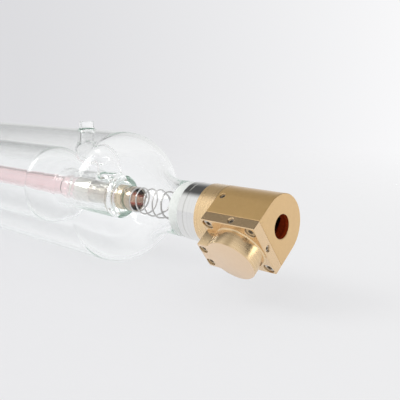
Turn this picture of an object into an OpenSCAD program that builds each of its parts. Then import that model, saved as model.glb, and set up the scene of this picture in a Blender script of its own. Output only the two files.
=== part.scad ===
// Sealed CO2 laser tube with a brass beam head.
// The beam runs along X and leaves through the head at X = 0, on the +X side.
// Z points up, and the axis of the tube is the line Y = 0, Z = 0.

/* [Tube] */
// Overall length, from the beam exit face to the rear end
total_len = 1200; // [950:10:1850]
// Outer diameter of the glass envelope
envelope_d = 80; // [76:1:90]
// Glass thickness of the envelope
envelope_wall = 2.5; // [1.5:0.1:3]
// Outer diameter of the glass neck at each end
neck_d = 31.2; // [30.6:0.1:31.6]
// Straight length of the glass neck
neck_len = 14; // [8:0.5:20]
// Radius of the rounded part of the shoulder
shoulder_round = 22; // [18:0.5:26]
// Radius of the hollow part of the shoulder, next to the neck
shoulder_hollow = 37; // [30:0.5:42]
// Length of the sealed exhaust tip that stands on the envelope
exhaust_tip_len = 9; // [6:0.5:12]
// Diameter of that tip
exhaust_tip_d = 7; // [5:0.5:9]

/* [Water jacket] */
// Outer diameter of the water jacket
jacket_d = 52.6; // [48:0.2:58]
// Glass thickness of the water jacket
jacket_wall = 1.6; // [1.2:0.1:2]
// Radius of the rounded part of the jacket's shoulder
jacket_round = 9; // [7.5:0.5:11]
// Radius of the hollow part of the jacket's shoulder
jacket_hollow = 6; // [5:0.5:8]
// Outer diameter of the narrow part of the jacket
collar_d = 26.8; // [26.2:0.2:30]
// Length of the narrow part of the jacket
collar_len = 54; // [48:1:70]
// Distance from the glass neck's end face to the jacket's rim
rim_setback = 60; // [50:1:80]
// Thickness of the glass web behind the rim
rim_web = 3.2; // [2:0.2:5]

/* [Discharge tube] */
// Outer diameter of the discharge tube
discharge_d = 13; // [11:0.2:13.6]
// Bore of the discharge tube
discharge_bore = 10; // [7:0.2:10.4]
// Outer diameter of the glass sleeve round each electrode
sleeve_d = 19.4; // [18.8:0.2:20]
// Glass thickness of the electrode sleeve
sleeve_wall = 1.4; // [1:0.1:1.5]
// Length of the cone that closes the sleeve onto the discharge tube
sleeve_cone = 9; // [6:0.5:12]

/* [Electrodes] */
// Outer diameter of each electrode
electrode_d = 15; // [14.6:0.1:15.8]
// Length of each electrode
electrode_len = 57; // [50:1:66]
// How far each electrode stands out of its sleeve
electrode_reach = 13; // [8:1:20]
// How far each electrode slips over the discharge tube
electrode_lap = 8; // [4:0.5:12]
// Thickness of the bead round the open end of each electrode
electrode_bead = 1.2; // [0.8:0.1:1.6]
// Wire diameter of the contact springs
spring_wire = 0.9; // [0.6:0.1:1.4]
// Coil diameter of a contact spring at the electrode
spring_small_d = 14.4; // [13.6:0.2:15]
// Coil diameter of a contact spring at the ferrule
spring_large_d = 18.6; // [16:0.2:21]
// Number of turns in a contact spring
spring_turns = 9; // [4:0.5:10]

/* [Water nozzles] */
// Outer diameter of the water nozzles
nozzle_d = 9.2; // [8:0.2:10]
// Bore of the water nozzles
nozzle_bore = 6.8; // [5:0.2:7]
// Height of the nozzles above the envelope
nozzle_height = 5; // [3:0.5:25]
// Rounding of each nozzle's mouth
nozzle_lip = 0.8; // [0.7:0.1:1]
// Outer diameter of the outlet elbow
elbow_d = 15; // [13:0.2:16]
// Glass thickness of the outlet elbow
elbow_wall = 1.3; // [1:0.1:1.5]
// Distance from the jacket's rim back to the elbow's upright leg
elbow_setback = 14; // [12:0.5:20]
// Distance between the elbow's upright leg and the outlet nozzle
elbow_run = 21; // [19:0.5:26]
// Bend radius of the elbow
elbow_bend = 9; // [8:0.5:10]
// Height of the elbow's level leg above the axis
elbow_height = 25; // [24:0.2:28]
// Distance from the rear neck's end face to the inlet nozzle
inlet_setback = 142; // [138:1:200]

/* [Gas return coil] */
// Outer diameter of the gas return tubing
coil_tube_d = 7; // [5:0.2:8]
// Glass thickness of the gas return tubing
coil_wall = 1.2; // [0.8:0.1:1.4]
// Diameter of the coil's centre line
coil_d = 31; // [26:0.5:34]
// Distance from one turn to the next
coil_pitch = 16; // [12:0.5:24]
// Number of turns in the coil
coil_turns = 4; // [2:1:6]
// Distance from the rear neck's end face to the coil
coil_setback = 168; // [160:1:260]

/* [Spring supports] */
// Thickness of the spring steel
support_t = 0.8; // [0.5:0.1:1.2]
// Width of each support along the tube
support_w = 10; // [6:1:20]
// Number of leaves on each support
support_leaves = 6; // [3:1:8]

/* [Beam head] */
// Diameter of the head and width of its flat sides
head_d = 33; // [32.6:0.1:36]
// Length of the head block
block_len = 32.5; // [32.5:0.1:40]
// Height of the block's flat seat above the beam axis
seat_h = 11.5; // [11:0.1:14]
// Diameter of the beam aperture
aperture_d = 12.4; // [8:0.1:13]
// Bevel round the beam exit face
face_bevel = 0.4; // [0.2:0.1:0.8]
// Turn of the capped side from straight up, about the beam
head_roll = 127; // [0:1:180]
// Length of the mirror ring between the block and the ferrule
ring_len = 11; // [10:0.1:14]
// Diameter of the spigot that the block slides onto
spigot_d = 21; // [20.6:0.1:21.8]
// Length of that spigot
spigot_len = 6; // [5.6:0.1:6.2]

/* [Ferrules] */
// Outer diameter of the steel ferrules
ferrule_d = 32; // [31.6:0.1:33]
// Visible length of a ferrule
ferrule_len = 12.5; // [10:0.1:16]
// Thickness of the ferrule's end flange
flange_t = 2.5; // [1.5:0.1:3.5]
// Diameter of the hole in the flange
flange_bore = 15; // [13:0.1:16]
// Wall of the skirt that reaches into the glass neck
skirt_wall = 0.6; // [0.4:0.1:0.8]
// Length of the skirt inside the glass neck
skirt_reach = 8; // [4:0.5:10]
// Distance from the glass end of a ferrule to its groove
groove_setback = 4; // [3:0.1:5]
// Width of the groove
groove_w = 0.8; // [0.4:0.1:1.2]
// Depth of the groove
groove_depth = 0.4; // [0.2:0.1:0.6]

/* [Mirrors] */
// Diameter of the end mirrors
mirror_d = 16; // [15:0.1:16.6]
// Thickness of the end mirrors
mirror_t = 3; // [2:0.1:3.2]
// Thickness of the seals behind the mirrors
seal_t = 1; // [0.8:0.1:1.4]
// Diameter of the hole behind each mirror
mirror_hole = 12; // [10:0.1:13]
// Diameter of the threaded retainers
retainer_d = 18.6; // [18:0.1:19]
// Thickness of the threaded retainers
retainer_t = 4; // [3:0.1:4.5]

/* [Pointer plate and cap] */
// Thickness of the plate on the flat seat
plate_t = 5.6; // [5:0.1:7]
// Bore in the middle of the plate
plate_bore = 10.6; // [9.6:0.1:12]
// Height of the cap above the plate
cap_h = 9.3; // [8:0.1:12]
// Diameter of the cap
cap_d = 26.6; // [24:0.1:26.8]
// Fillet where the cap meets the plate
cap_fillet = 0.8; // [0.4:0.1:1]
// Width of the cap's tab
tab_w = 17; // [15:0.1:19]
// Radius where the tab runs into the round cap
tab_fillet = 3; // [2:0.1:4]
// Diameter of the pocket inside the cap
pocket_d = 17.6; // [12:0.1:18]
// Thickness of the cap's roof
roof_t = 1.8; // [1.2:0.1:2.4]
// Distance from the exit face to the pointer's axis
pointer_set = 15; // [14.4:0.1:16.2]
// Diameter of the pointer module
pointer_d = 9; // [7:0.1:9.4]
// Length of the pointer module
pointer_len = 11.5; // [8:0.1:12]
// Diameter of the carrier that holds the combining mirror
carrier_d = 20; // [18.4:0.1:20.4]
// Depth of the carrier's bore below the beam axis
carrier_depth = 9.5; // [8.5:0.1:11]
// Diameter of the combining mirror
combiner_d = 15; // [14:0.1:15.6]
// Thickness of the combining mirror
combiner_t = 2; // [1.5:0.1:2.5]

/* [Screws] */
// Shank diameter of the plate screws and set screws
screw_d = 3; // [2.5:0.1:3.1]
// Head diameter of the plate screws
screw_head_d = 5.5; // [5:0.1:5.6]
// Head height of the plate screws
screw_head_h = 3; // [2:0.1:3.2]
// How far the plate screws reach into the block
screw_reach = 5.5; // [4:0.1:5.8]
// Distance from the plate's edges to its corner screws
corner_inset = 3.3; // [3.2:0.1:4.4]
// Shank diameter of the cap screws
cap_screw_d = 2.5; // [2:0.1:2.6]
// Head diameter of the cap screws
cap_screw_head_d = 4.5; // [3.8:0.1:4.6]
// Head height of the cap screws
cap_screw_head_h = 2.5; // [2:0.1:2.8]
// Distance between the two cap screws
cap_screw_gap = 9.6; // [8.6:0.1:11]
// Distance from the tab's edge to the cap screws
cap_screw_inset = 2.7; // [2.7:0.1:3.2]
// How far the cap screws reach into the plate
cap_screw_reach = 4; // [3:0.1:4.8]
// Play round the head of a sunk screw
sink_play = 0.4; // [0.3:0.1:0.5]
// How far the head of a sunk screw sits below the surface
head_sink = 0.8; // [0.4:0.1:1]
// How far the set screws sit below the surface
set_screw_sink = 0.8; // [0.3:0.1:1.2]

/* [Rear mount] */
// Length of the rear mount
mount_len = 14; // [12:0.1:20]
// Diameter of the terminal screw
terminal_d = 4; // [3:0.1:4.2]
// Head diameter of the terminal screw
terminal_head_d = 7.4; // [6:0.1:8]
// Head height of the terminal screw
terminal_head_h = 2.8; // [2:0.1:3.4]
// How far the terminal screw reaches into the mount
terminal_reach = 4; // [3:0.1:4.5]

/* [Hidden] */
$fn = 96;

play = 0.1;                 // radial gap of parts that slide together
fuse_gap = 0.05;            // gap left at a fused glass joint
over = 0.01;                // how far a cutter runs past a face
edge_lip = 0.05;            // flat left where a fillet runs out
hose_step = 0.3;            // how far a nozzle's leg stands out round its hose seat
beam_room = 0.4;            // how much wider the beam's path is behind the exit bore
arc_steps = 10;             // straight steps in one arc of a glass shoulder

head_r = head_d / 2;
aperture_r = aperture_d / 2;
beam_r = aperture_r + beam_room;
x_block_rear = -block_len;
x_ring_rear = x_block_rear - ring_len;
x_neck = x_ring_rear - ferrule_len;
x_rear_end = -total_len;
x_mount_front = x_rear_end + mount_len;
x_rear_neck = x_mount_front + ferrule_len;
x_middle = (x_neck + x_rear_neck) / 2;

envelope_r = envelope_d / 2;
neck_r = neck_d / 2;
x_neck_end = x_neck - neck_len;

jacket_r = jacket_d / 2;
collar_r = collar_d / 2;
x_rim = x_neck - rim_setback;
x_collar_end = x_rim - collar_len;

discharge_r = discharge_d / 2;
sleeve_r = sleeve_d / 2;
sleeve_inner_r = sleeve_r - sleeve_wall;
electrode_r = electrode_d / 2;
electrode_inner_r = discharge_r + play;
x_electrode = x_rim + electrode_reach;
x_electrode_rear = x_electrode - electrode_len;
x_discharge = x_electrode_rear + electrode_lap;
x_flange = x_ring_rear - flange_t;

nozzle_r = nozzle_d / 2;
nozzle_leg_r = nozzle_r + hose_step;
nozzle_top = envelope_r + nozzle_height;
x_elbow = x_rim - elbow_setback;
x_outlet = x_elbow - elbow_run;
elbow_r = elbow_d / 2;
x_inlet = x_rear_neck + inlet_setback;
x_coil = x_rear_neck + coil_setback;
coil_len = coil_pitch * coil_turns;
coil_r = coil_d / 2;
coil_tube_r = coil_tube_d / 2;

spigot_r = spigot_d / 2;
x_spigot = x_block_rear + spigot_len;
retainer_r = retainer_d / 2;
mirror_r = mirror_d / 2;
x_pocket = x_ring_rear + (ring_len - seal_t - mirror_t) / 2 + seal_t + mirror_t;
x_mirror_hole = x_pocket - mirror_t - seal_t;
x_rear_pocket = x_rear_end + retainer_t;

x_plate = -block_len / 2;
x_pointer = -pointer_set;
plate_top = seat_h + plate_t;
cap_top = plate_top + cap_h;
cap_r = cap_d / 2;
z_set_screws = seat_h + plate_t / 2;
screw_r = screw_d / 2;
corner_x = block_len / 2 - corner_inset;
corner_y = head_r - corner_inset;
sink_r = (screw_head_d + sink_play) / 2;
sink_h = screw_head_h + head_sink;
cap_sink_r = (cap_screw_head_d + sink_play) / 2;
cap_sink_h = cap_screw_head_h + head_sink;
x_cap_screws = x_block_rear + cap_screw_inset;
x_ring_screws = x_block_rear + spigot_len / 2;
pointer_r = pointer_d / 2;
z_pointer = seat_h + play;
carrier_r = carrier_d / 2;
terminal_r = terminal_d / 2;
x_terminal = x_mount_front - mount_len / 2;

clear_glass = [0.85, 0.93, 0.92, 0.35];
pink_glass = [0.93, 0.72, 0.74, 0.5];
brass = [0.80, 0.66, 0.42];
steel = [0.72, 0.73, 0.74];
dark_steel = [0.35, 0.34, 0.32];
zinc_selenide = [0.75, 0.32, 0.10];

// ---- helpers ----

// Round bar along X, from x on towards +X
module bar_x(x, length, r) {
    translate([x, 0, 0])
        rotate([0, 90, 0])
            cylinder(h = length, r = r);
}

// Solid turned about the beam axis, from points given as [radius, x]
module lathe(points) {
    rotate([0, 90, 0])
        rotate_extrude()
            polygon(points);
}

// Places a front-end part at the rear end, facing the other way
module at_rear() {
    translate([2 * x_middle, 0, 0])
        mirror([1, 0, 0])
            children();
}

// Turns the head so that its capped side points where head_roll says
module on_head() {
    rotate([head_roll, 0, 0])
        children();
}

function reversed(v) = [for (i = [len(v) - 1 : -1 : 0]) v[i]];
function at_rear_points(v) = [for (p = v) [p[0], 2 * x_middle - p[1]]];

// Closed glass wall from the outer and inner line of its front end
function both_ends(outer, inner) = concat(outer, reversed(inner),
    at_rear_points(inner), reversed(at_rear_points(outer)));

// Shoulder from radius r1 down to radius r2, ending at x2, as two arcs that meet smoothly
function shoulder(x2, r1, r2, round_r, hollow_r) =
    let (fall = r1 - r2,
         both = round_r + hollow_r,
         run = sqrt(fall * (2 * both - fall)),
         sweep = atan2(run, both - fall))
    concat(
        [for (i = [0 : arc_steps]) let (a = sweep * i / arc_steps)
            [r1 - round_r * (1 - cos(a)), x2 - run + round_r * sin(a)]],
        [for (i = [arc_steps - 1 : -1 : 0]) let (a = sweep * i / arc_steps)
            [r2 + hollow_r * (1 - cos(a)), x2 - hollow_r * sin(a)]]);

// Two directions square to the path at its point i, for a path that never runs along X
function across(path, i) =
    let (ahead = path[min(i + 1, len(path) - 1)] - path[max(i - 1, 0)],
         t = ahead / norm(ahead),
         s = cross(t, [1, 0, 0]),
         side = s / norm(s))
    [side, cross(side, t)];

// Points of the rings of radius r round each point of the path
function rings(path, r, sides) = [for (i = [0 : len(path) - 1])
    let (d = across(path, i))
    for (j = [0 : sides - 1])
        path[i] + r * (cos(360 * j / sides) * d[0] + sin(360 * j / sides) * d[1])];

// Faces of the skin over a row of rings, whose points start at index first
function skin(count, sides, first) = [for (i = [0 : count - 2]) for (j = [0 : sides - 1])
    let (k = (j + 1) % sides, a = first + i * sides, b = a + sides)
    [a + j, a + k, b + k, b + j]];

// Faces of a flat ring between two rings of points, whose points start at indexes a and b
function end_ring(a, b, sides) = [for (j = [0 : sides - 1])
    let (k = (j + 1) % sides)
    [a + j, b + j, b + k, a + k]];

// Round wire of radius r along a path
module wire(path, r, sides) {
    count = len(path);
    start = [[for (j = [sides - 1 : -1 : 0]) j]];
    end = [[for (j = [0 : sides - 1]) (count - 1) * sides + j]];
    polyhedron(points = rings(path, r, sides), faces = concat(skin(count, sides, 0), start, end),
        convexity = 10);
}

// Round tubing along a path, open at both ends
module tubing(path, r, wall, sides) {
    count = len(path);
    bore = count * sides;
    last = bore - sides;
    polyhedron(points = concat(rings(path, r, sides), rings(path, r - wall, sides)),
        faces = concat(skin(count, sides, 0), [for (f = skin(count, sides, bore)) reversed(f)],
            end_ring(0, bore, sides), [for (f = end_ring(last, bore + last, sides)) reversed(f)]),
        convexity = 10);
}

// Point at distance r and angle a from the X axis
function polar(x, r, a) = [x, r * cos(a), r * sin(a)];

// Points of an arc about a centre, square to X
function arc(centre, r, a1, a2, steps) = [for (i = [0 : steps])
    centre + polar(0, r, a1 + (a2 - a1) * i / steps)];

// Screw with a hexagon socket, head down to z = 0 and shank below it
module socket_screw(shank_r, reach, head_r, head_h) {
    difference() {
        union() {
            cylinder(h = head_h, r = head_r, $fn = 48);
            translate([0, 0, -reach])
                cylinder(h = reach + over, r = shank_r, $fn = 48);
        }
        translate([0, 0, head_h * 0.4])
            cylinder(h = head_h, r = head_r * 0.52, $fn = 6);
    }
}

// Headless screw that points along +Z, with its socket at z = 0
module set_screw(length) {
    difference() {
        translate([0, 0, -length])
            cylinder(h = length, r = screw_r, $fn = 48);
        translate([0, 0, -screw_r])
            cylinder(h = length, r = screw_r * 0.55, $fn = 6);
    }
}

// Places its children at the plate's four corners, on the flat seat
module at_corners() {
    for (sx = [-1, 1])
        for (sy = [-1, 1])
            translate([x_plate + sx * corner_x, sy * corner_y, 0])
                children();
}

// Places its children at the two screws of the cap's tab
module at_cap_screws() {
    for (sy = [-1, 1])
        translate([x_cap_screws, sy * cap_screw_gap / 2, 0])
            children();
}

// Places its children on each side of the plate, +Z pointing out, at $edge from the pointer's axis
module at_plate_sides() {
    edges = [pointer_set, head_r, block_len - pointer_set, head_r];
    for (turn = [0, 1, 2, 3])
        let ($edge = edges[turn])
        translate([x_pointer, 0, z_set_screws])
            rotate([0, 0, 90 * turn])
                translate([$edge, 0, 0])
                    rotate([0, 90, 0])
                        children();
}

// Places its children on the block's two flats and its round side, +Z pointing out
module at_ring_screws() {
    for (turn = [90, 180, 270])
        translate([x_ring_screws, 0, 0])
            rotate([turn, 0, 0])
                translate([0, 0, head_r])
                    children();
}

// ---- glass ----

module outer_envelope() {
    outer = concat(
        shoulder(x_neck_end, envelope_r, neck_r, shoulder_round, shoulder_hollow),
        [[neck_r, x_neck]]);
    inner = concat(
        shoulder(x_neck_end, envelope_r - envelope_wall, neck_r - envelope_wall,
            shoulder_round - envelope_wall, shoulder_hollow + envelope_wall),
        [[neck_r - envelope_wall, x_neck]]);
    tip_r = exhaust_tip_d / 2;
    color(clear_glass)
    difference() {
        union() {
            lathe(both_ends(outer, inner));
            translate([x_coil + coil_len, 0, 0])
                rotate([-50, 0, 0])
                    translate([0, 0, envelope_r - envelope_wall / 2]) {
                        cylinder(h = exhaust_tip_len - tip_r, r = tip_r);
                        translate([0, 0, exhaust_tip_len - tip_r])
                            sphere(r = tip_r);
                    }
        }
        for (x = [x_outlet, x_inlet])
            translate([x, 0, 0])
                cylinder(h = envelope_r + over, r = nozzle_leg_r + fuse_gap);
    }
}

module water_jacket() {
    rim_r = (collar_r - sleeve_r - fuse_gap) / 2;
    web_x = x_rim - rim_r - rim_web;
    inner_collar_r = collar_r - jacket_wall;
    outer = concat(
        shoulder(x_collar_end, jacket_r, collar_r, jacket_round, jacket_hollow),
        [for (i = [0 : arc_steps]) let (a = 180 * i / arc_steps)
            [collar_r - rim_r * (1 - cos(a)), x_rim - rim_r * (1 - sin(a))]]);
    inner = concat(
        shoulder(x_collar_end, jacket_r - jacket_wall, inner_collar_r,
            jacket_round - jacket_wall, jacket_hollow + jacket_wall),
        [[inner_collar_r, web_x], [collar_r - 2 * rim_r, web_x]]);
    color(clear_glass)
    difference() {
        lathe(both_ends(outer, inner));
        translate([x_elbow, 0, 0])
            cylinder(h = collar_r + over, r = elbow_r - elbow_wall);
        translate([x_inlet, 0, 0])
            cylinder(h = jacket_r + over, r = nozzle_bore / 2);
        coil_hole(x_coil, jacket_r + over, coil_tube_r + fuse_gap);
    }
}

module discharge_tube() {
    bore_r = discharge_bore / 2;
    x_end = 2 * x_middle - x_discharge;
    color(pink_glass)
    difference() {
        bar_x(x_end, x_discharge - x_end, discharge_r);
        bar_x(x_end - over, x_discharge - x_end + 2 * over, bore_r);
        coil_hole(x_coil + coil_len, discharge_r + over, coil_tube_r - coil_wall);
    }
}

module electrode_sleeve() {
    x_cone = x_electrode_rear - play;
    seal_r = discharge_r + fuse_gap;
    lathe([[sleeve_inner_r, x_rim], [sleeve_r, x_rim],
        [sleeve_r, x_cone], [seal_r + sleeve_wall, x_cone - sleeve_cone],
        [seal_r, x_cone - sleeve_cone], [seal_r, x_cone - sleeve_wall],
        [sleeve_inner_r, x_cone]]);
}

module front_electrode_sleeve() {
    color(clear_glass)
    electrode_sleeve();
}

module rear_electrode_sleeve() {
    color(clear_glass)
    at_rear()
        electrode_sleeve();
}

// Outlet elbow filled in, at tube radius r
module elbow_rod(r) {
    bend_z = elbow_height - elbow_bend;
    translate([x_elbow, 0, 0])
        cylinder(h = bend_z, r = r);
    translate([x_elbow - elbow_bend, 0, bend_z])
        rotate([90, 0, 0])
            rotate_extrude(angle = 90)
                translate([elbow_bend, 0])
                    circle(r = r);
    translate([0, 0, elbow_height])
        bar_x(x_outlet, elbow_run - elbow_bend, r);
    translate([x_outlet, 0, elbow_height])
        sphere(r = r);
}

module outlet_elbow() {
    color(clear_glass)
    difference() {
        elbow_rod(elbow_r);
        elbow_rod(elbow_r - elbow_wall);
        bar_x(x_elbow - elbow_d, 2 * elbow_d, collar_r + fuse_gap);
        translate([x_outlet, 0, elbow_height])
            cylinder(h = elbow_r + over, r = nozzle_bore / 2);
    }
}

// Glass nozzle at x: a leg from the axis up to the envelope, then a slimmer hose seat
module nozzle(x) {
    translate([x, 0, 0])
        difference() {
            union() {
                cylinder(h = envelope_r + hose_step, r = nozzle_leg_r);
                cylinder(h = nozzle_top - nozzle_lip, r = nozzle_r);
                translate([0, 0, nozzle_top - nozzle_lip])
                    rotate_extrude()
                        translate([nozzle_r - nozzle_lip, 0])
                            circle(r = nozzle_lip, $fn = 32);
            }
            translate([0, 0, -over])
                cylinder(h = nozzle_top + 2 * over, r = nozzle_bore / 2);
        }
}

module outlet_nozzle() {
    color(clear_glass)
    difference() {
        nozzle(x_outlet);
        bar_x(x_outlet - elbow_d, 3 * elbow_d, elbow_height);
        translate([x_outlet, 0, elbow_height])
            bar_x(0, elbow_run, elbow_r + fuse_gap);
        translate([x_outlet, 0, elbow_height])
            sphere(r = elbow_r + fuse_gap);
    }
}

module inlet_nozzle() {
    color(clear_glass)
    difference() {
        nozzle(x_inlet);
        bar_x(x_inlet - nozzle_d, 2 * nozzle_d, jacket_r + fuse_gap);
    }
}

// Hole for the gas return tubing at x, on the +Y side, from the axis out to radius reach
module coil_hole(x, reach, r) {
    translate([x, 0, 0])
        rotate([-90, 0, 0])
            cylinder(h = reach, r = r);
}

// Coil that starts outside the jacket and ends on the discharge tube, both on the +Y side
module gas_return_coil() {
    bend = coil_tube_d * 0.8;
    x_end = x_coil + coil_len;
    a_in = asin(bend / (coil_r + bend));
    a_out = 360 * coil_turns - asin(bend / (coil_r - bend));
    steps = coil_turns * 20;
    outer_leg = [[x_coil, jacket_r + coil_wall, 0]];
    outer_bend = arc(polar(x_coil, coil_r + bend, a_in), bend, -90, a_in - 180, 5);
    turns = [for (i = [1 : steps - 1]) let (s = i / steps)
        polar(x_coil + coil_len * s, coil_r, a_in + (a_out - a_in) * s)];
    inner_bend = arc(polar(x_end, coil_r - bend, a_out), bend, a_out, 360 * coil_turns + 90, 6);
    inner_leg = [[x_end, discharge_r + fuse_gap, 0]];
    color(clear_glass)
    tubing(concat(outer_leg, outer_bend, turns, inner_bend, inner_leg), coil_tube_r, coil_wall, 12);
}

// ---- electrodes, springs and supports ----

// Spring steel band round the water jacket, with leaves that hold it off the envelope
module spring_support() {
    band_r = jacket_r + play;
    leaf_r = envelope_r - envelope_wall - play;
    rotate([0, 90, 0])
        linear_extrude(height = support_w, center = true)
            union() {
                difference() {
                    circle(r = band_r + support_t);
                    circle(r = band_r);
                }
                for (i = [0 : support_leaves - 1])
                    rotate(360 * i / support_leaves)
                        translate([band_r + support_t / 2, -support_t / 2])
                            square([leaf_r - band_r - support_t / 2, support_t]);
            }
}

module spring_supports() {
    half_jacket = x_middle - x_rear_neck - rim_setback - collar_len;
    spread = 0.4;
    color(steel)
    for (side = [-1, 1])
        translate([x_middle + side * spread * half_jacket, 0, 0])
            spring_support();
}

// Open metal cylinder with a beaded mouth, slipped over the end of the discharge tube
module electrode() {
    bead_r = electrode_bead / 2;
    bar_r = electrode_r + over;
    difference() {
        union() {
            bar_x(x_electrode_rear, electrode_len - bead_r, electrode_r);
            translate([x_electrode - bead_r, 0, 0])
                rotate([0, 90, 0])
                    rotate_extrude()
                        translate([electrode_r - bead_r, 0])
                            circle(r = bead_r, $fn = 32);
        }
        bar_x(x_electrode_rear - over, electrode_len + 2 * over, electrode_inner_r);
    }
}

module cathode() {
    color(dark_steel)
    electrode();
}

module anode() {
    color(dark_steel)
    at_rear()
        electrode();
}

// Conical wire spring between an electrode's mouth and the ferrule's flange
module contact_spring() {
    wire_r = spring_wire / 2;
    x1 = x_electrode + play + wire_r;
    x2 = x_flange - play - wire_r;
    closed_turns = 0.7;
    steps = ceil(spring_turns * 22);
    path = [for (i = [0 : steps])
        let (turn = spring_turns * i / steps,
             rise = (turn - closed_turns) / (spring_turns - 2 * closed_turns),
             s = min(1, max(0, rise)))
        polar(x1 + (x2 - x1) * s, (spring_small_d + (spring_large_d - spring_small_d) * s) / 2, 360 * turn)];
    wire(path, wire_r, 8);
}

module cathode_spring() {
    color(steel)
    contact_spring();
}

module anode_spring() {
    color(steel)
    at_rear()
        contact_spring();
}

// ---- ferrules, mirrors and mounts ----

// Steel ferrule: a grooved ring with an end flange and a thin skirt inside the glass neck
module ferrule() {
    skirt_r = neck_r - envelope_wall - play;
    groove_x = x_neck + groove_setback;
    difference() {
        union() {
            bar_x(x_neck, ferrule_len, ferrule_d / 2);
            bar_x(x_neck - skirt_reach, skirt_reach + over, skirt_r);
        }
        bar_x(x_neck - skirt_reach - over, x_flange - x_neck + skirt_reach + over, skirt_r - skirt_wall);
        bar_x(x_flange - over, flange_t + 2 * over, flange_bore / 2);
        difference() {
            bar_x(groove_x, groove_w, ferrule_d);
            bar_x(groove_x - over, groove_w + 2 * over, ferrule_d / 2 - groove_depth);
        }
    }
}

module front_ferrule() {
    color(steel)
    ferrule();
}

module rear_ferrule() {
    color(steel)
    at_rear()
        ferrule();
}

// Ring with the output mirror's pocket, and the spigot that carries the block
module mirror_ring() {
    pocket_r = mirror_r + play;
    color(brass)
    difference() {
        union() {
            bar_x(x_ring_rear, ring_len, head_r);
            bar_x(x_block_rear - over, spigot_len + over, spigot_r);
        }
        bar_x(x_ring_rear - over, ring_len, mirror_hole / 2);
        bar_x(x_mirror_hole, mirror_t + seal_t + over, pocket_r);
        bar_x(x_pocket, x_spigot - x_pocket + over, retainer_r + play);
    }
}

// Flat gasket or ring of the mirror's diameter, with the beam hole in it
module ring_x(x, length, outer_r, inner_r) {
    difference() {
        bar_x(x, length, outer_r);
        bar_x(x - over, length + 2 * over, inner_r);
    }
}

module output_mirror() {
    color(zinc_selenide)
    bar_x(x_pocket - mirror_t, mirror_t, mirror_r);
}

module output_seal() {
    color("black")
    ring_x(x_mirror_hole, seal_t, mirror_r, mirror_hole / 2);
}

// Threaded retainer with two slots for a pin spanner
module output_retainer() {
    slot_w = retainer_t / 2;
    color(brass)
    difference() {
        ring_x(x_pocket, retainer_t, retainer_r, mirror_hole / 2);
        translate([x_pocket + retainer_t, 0, 0])
            cube([slot_w, retainer_d + over, slot_w], center = true);
    }
}

module rear_mount() {
    color(brass)
    difference() {
        bar_x(x_rear_end, mount_len, head_r);
        bar_x(x_rear_pocket, mount_len, mirror_hole / 2);
        bar_x(x_rear_pocket, seal_t + mirror_t, mirror_r + play);
        bar_x(x_rear_end - over, retainer_t + over, retainer_r + play);
        translate([x_terminal, 0, head_r - terminal_reach - play])
            cylinder(h = terminal_reach + 1, r = terminal_r + fuse_gap);
    }
}

module rear_mirror() {
    color("gold")
    bar_x(x_rear_pocket, mirror_t, mirror_r);
}

module rear_seal() {
    color("black")
    ring_x(x_rear_pocket + mirror_t, seal_t, mirror_r, mirror_hole / 2);
}

// Threaded cover with two blind holes for a pin spanner
module rear_cover() {
    hole_r = 1.25;
    color(brass)
    difference() {
        bar_x(x_rear_end, retainer_t, retainer_r);
        for (side = [-1, 1])
            translate([0, side * retainer_r * 0.62, 0])
                bar_x(x_rear_end - over, retainer_t / 2, hole_r);
    }
}

// Cross-slotted terminal screw for the high-voltage lead
module terminal_screw() {
    slot_w = terminal_d / 4;
    color(steel)
    translate([x_terminal, 0, head_r])
        difference() {
            union() {
                translate([0, 0, -terminal_reach])
                    cylinder(h = terminal_reach + over, r = terminal_r);
                cylinder(h = terminal_head_h, r = terminal_head_d / 2);
            }
            for (turn = [0, 90])
                translate([0, 0, terminal_head_h])
                    rotate(turn)
                        cube([terminal_head_d * 0.62, slot_w, terminal_head_h], center = true);
        }
}

// ---- beam head ----

// Outline of the block: a half round below, with flats that run up to the seat
module block_body() {
    difference() {
        bar_x(x_block_rear, block_len, head_r);
        translate([x_block_rear - over, -head_r, 0])
            cube([block_len + 2 * over, head_d, head_r]);
    }
    translate([x_block_rear, -head_r, 0])
        cube([block_len, head_d, seat_h]);
}

// Material taken off for the bevel round the exit face
module face_bevel_cut() {
    reach = face_bevel + over;
    rotate([0, 90, 0])
        rotate_extrude()
            polygon([[head_r - face_bevel, over], [head_r + reach, over],
                [head_r + reach, -face_bevel - 2 * over]]);
    for (side = [-1, 1])
        translate([0, side * head_r, -over])
            rotate([0, 0, 45])
                translate([-face_bevel * 0.7, -face_bevel * 0.7, 0])
                    cube([face_bevel * 1.4, face_bevel * 1.4, seat_h + 2 * over]);
}

module head_block() {
    color(brass)
    on_head()
    difference() {
        block_body();
        face_bevel_cut();
        bar_x(x_block_rear - over, block_len + 2 * over, aperture_r);
        bar_x(x_block_rear - over, block_len / 2 + over, beam_r);
        bar_x(x_block_rear - over, spigot_len + play + over, spigot_r + play);
        translate([x_pointer, 0, -carrier_depth])
            cylinder(h = carrier_depth + seat_h + over, r = carrier_r + play);
        at_corners()
            translate([0, 0, seat_h - screw_reach - play])
                cylinder(h = screw_reach + 1, r = screw_r + fuse_gap);
        at_ring_screws()
            translate([0, 0, spigot_r - head_r])
                cylinder(h = head_r, r = screw_r + fuse_gap);
    }
}

module ring_set_screws() {
    color(dark_steel)
    on_head()
    at_ring_screws()
        translate([0, 0, -set_screw_sink])
            set_screw(head_r - spigot_r - set_screw_sink - fuse_gap);
}

// Place of the combining mirror, at half a right angle to the beam
module at_combiner() {
    translate([x_pointer, 0, 0])
        rotate([0, 45, 0])
            children();
}

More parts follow.
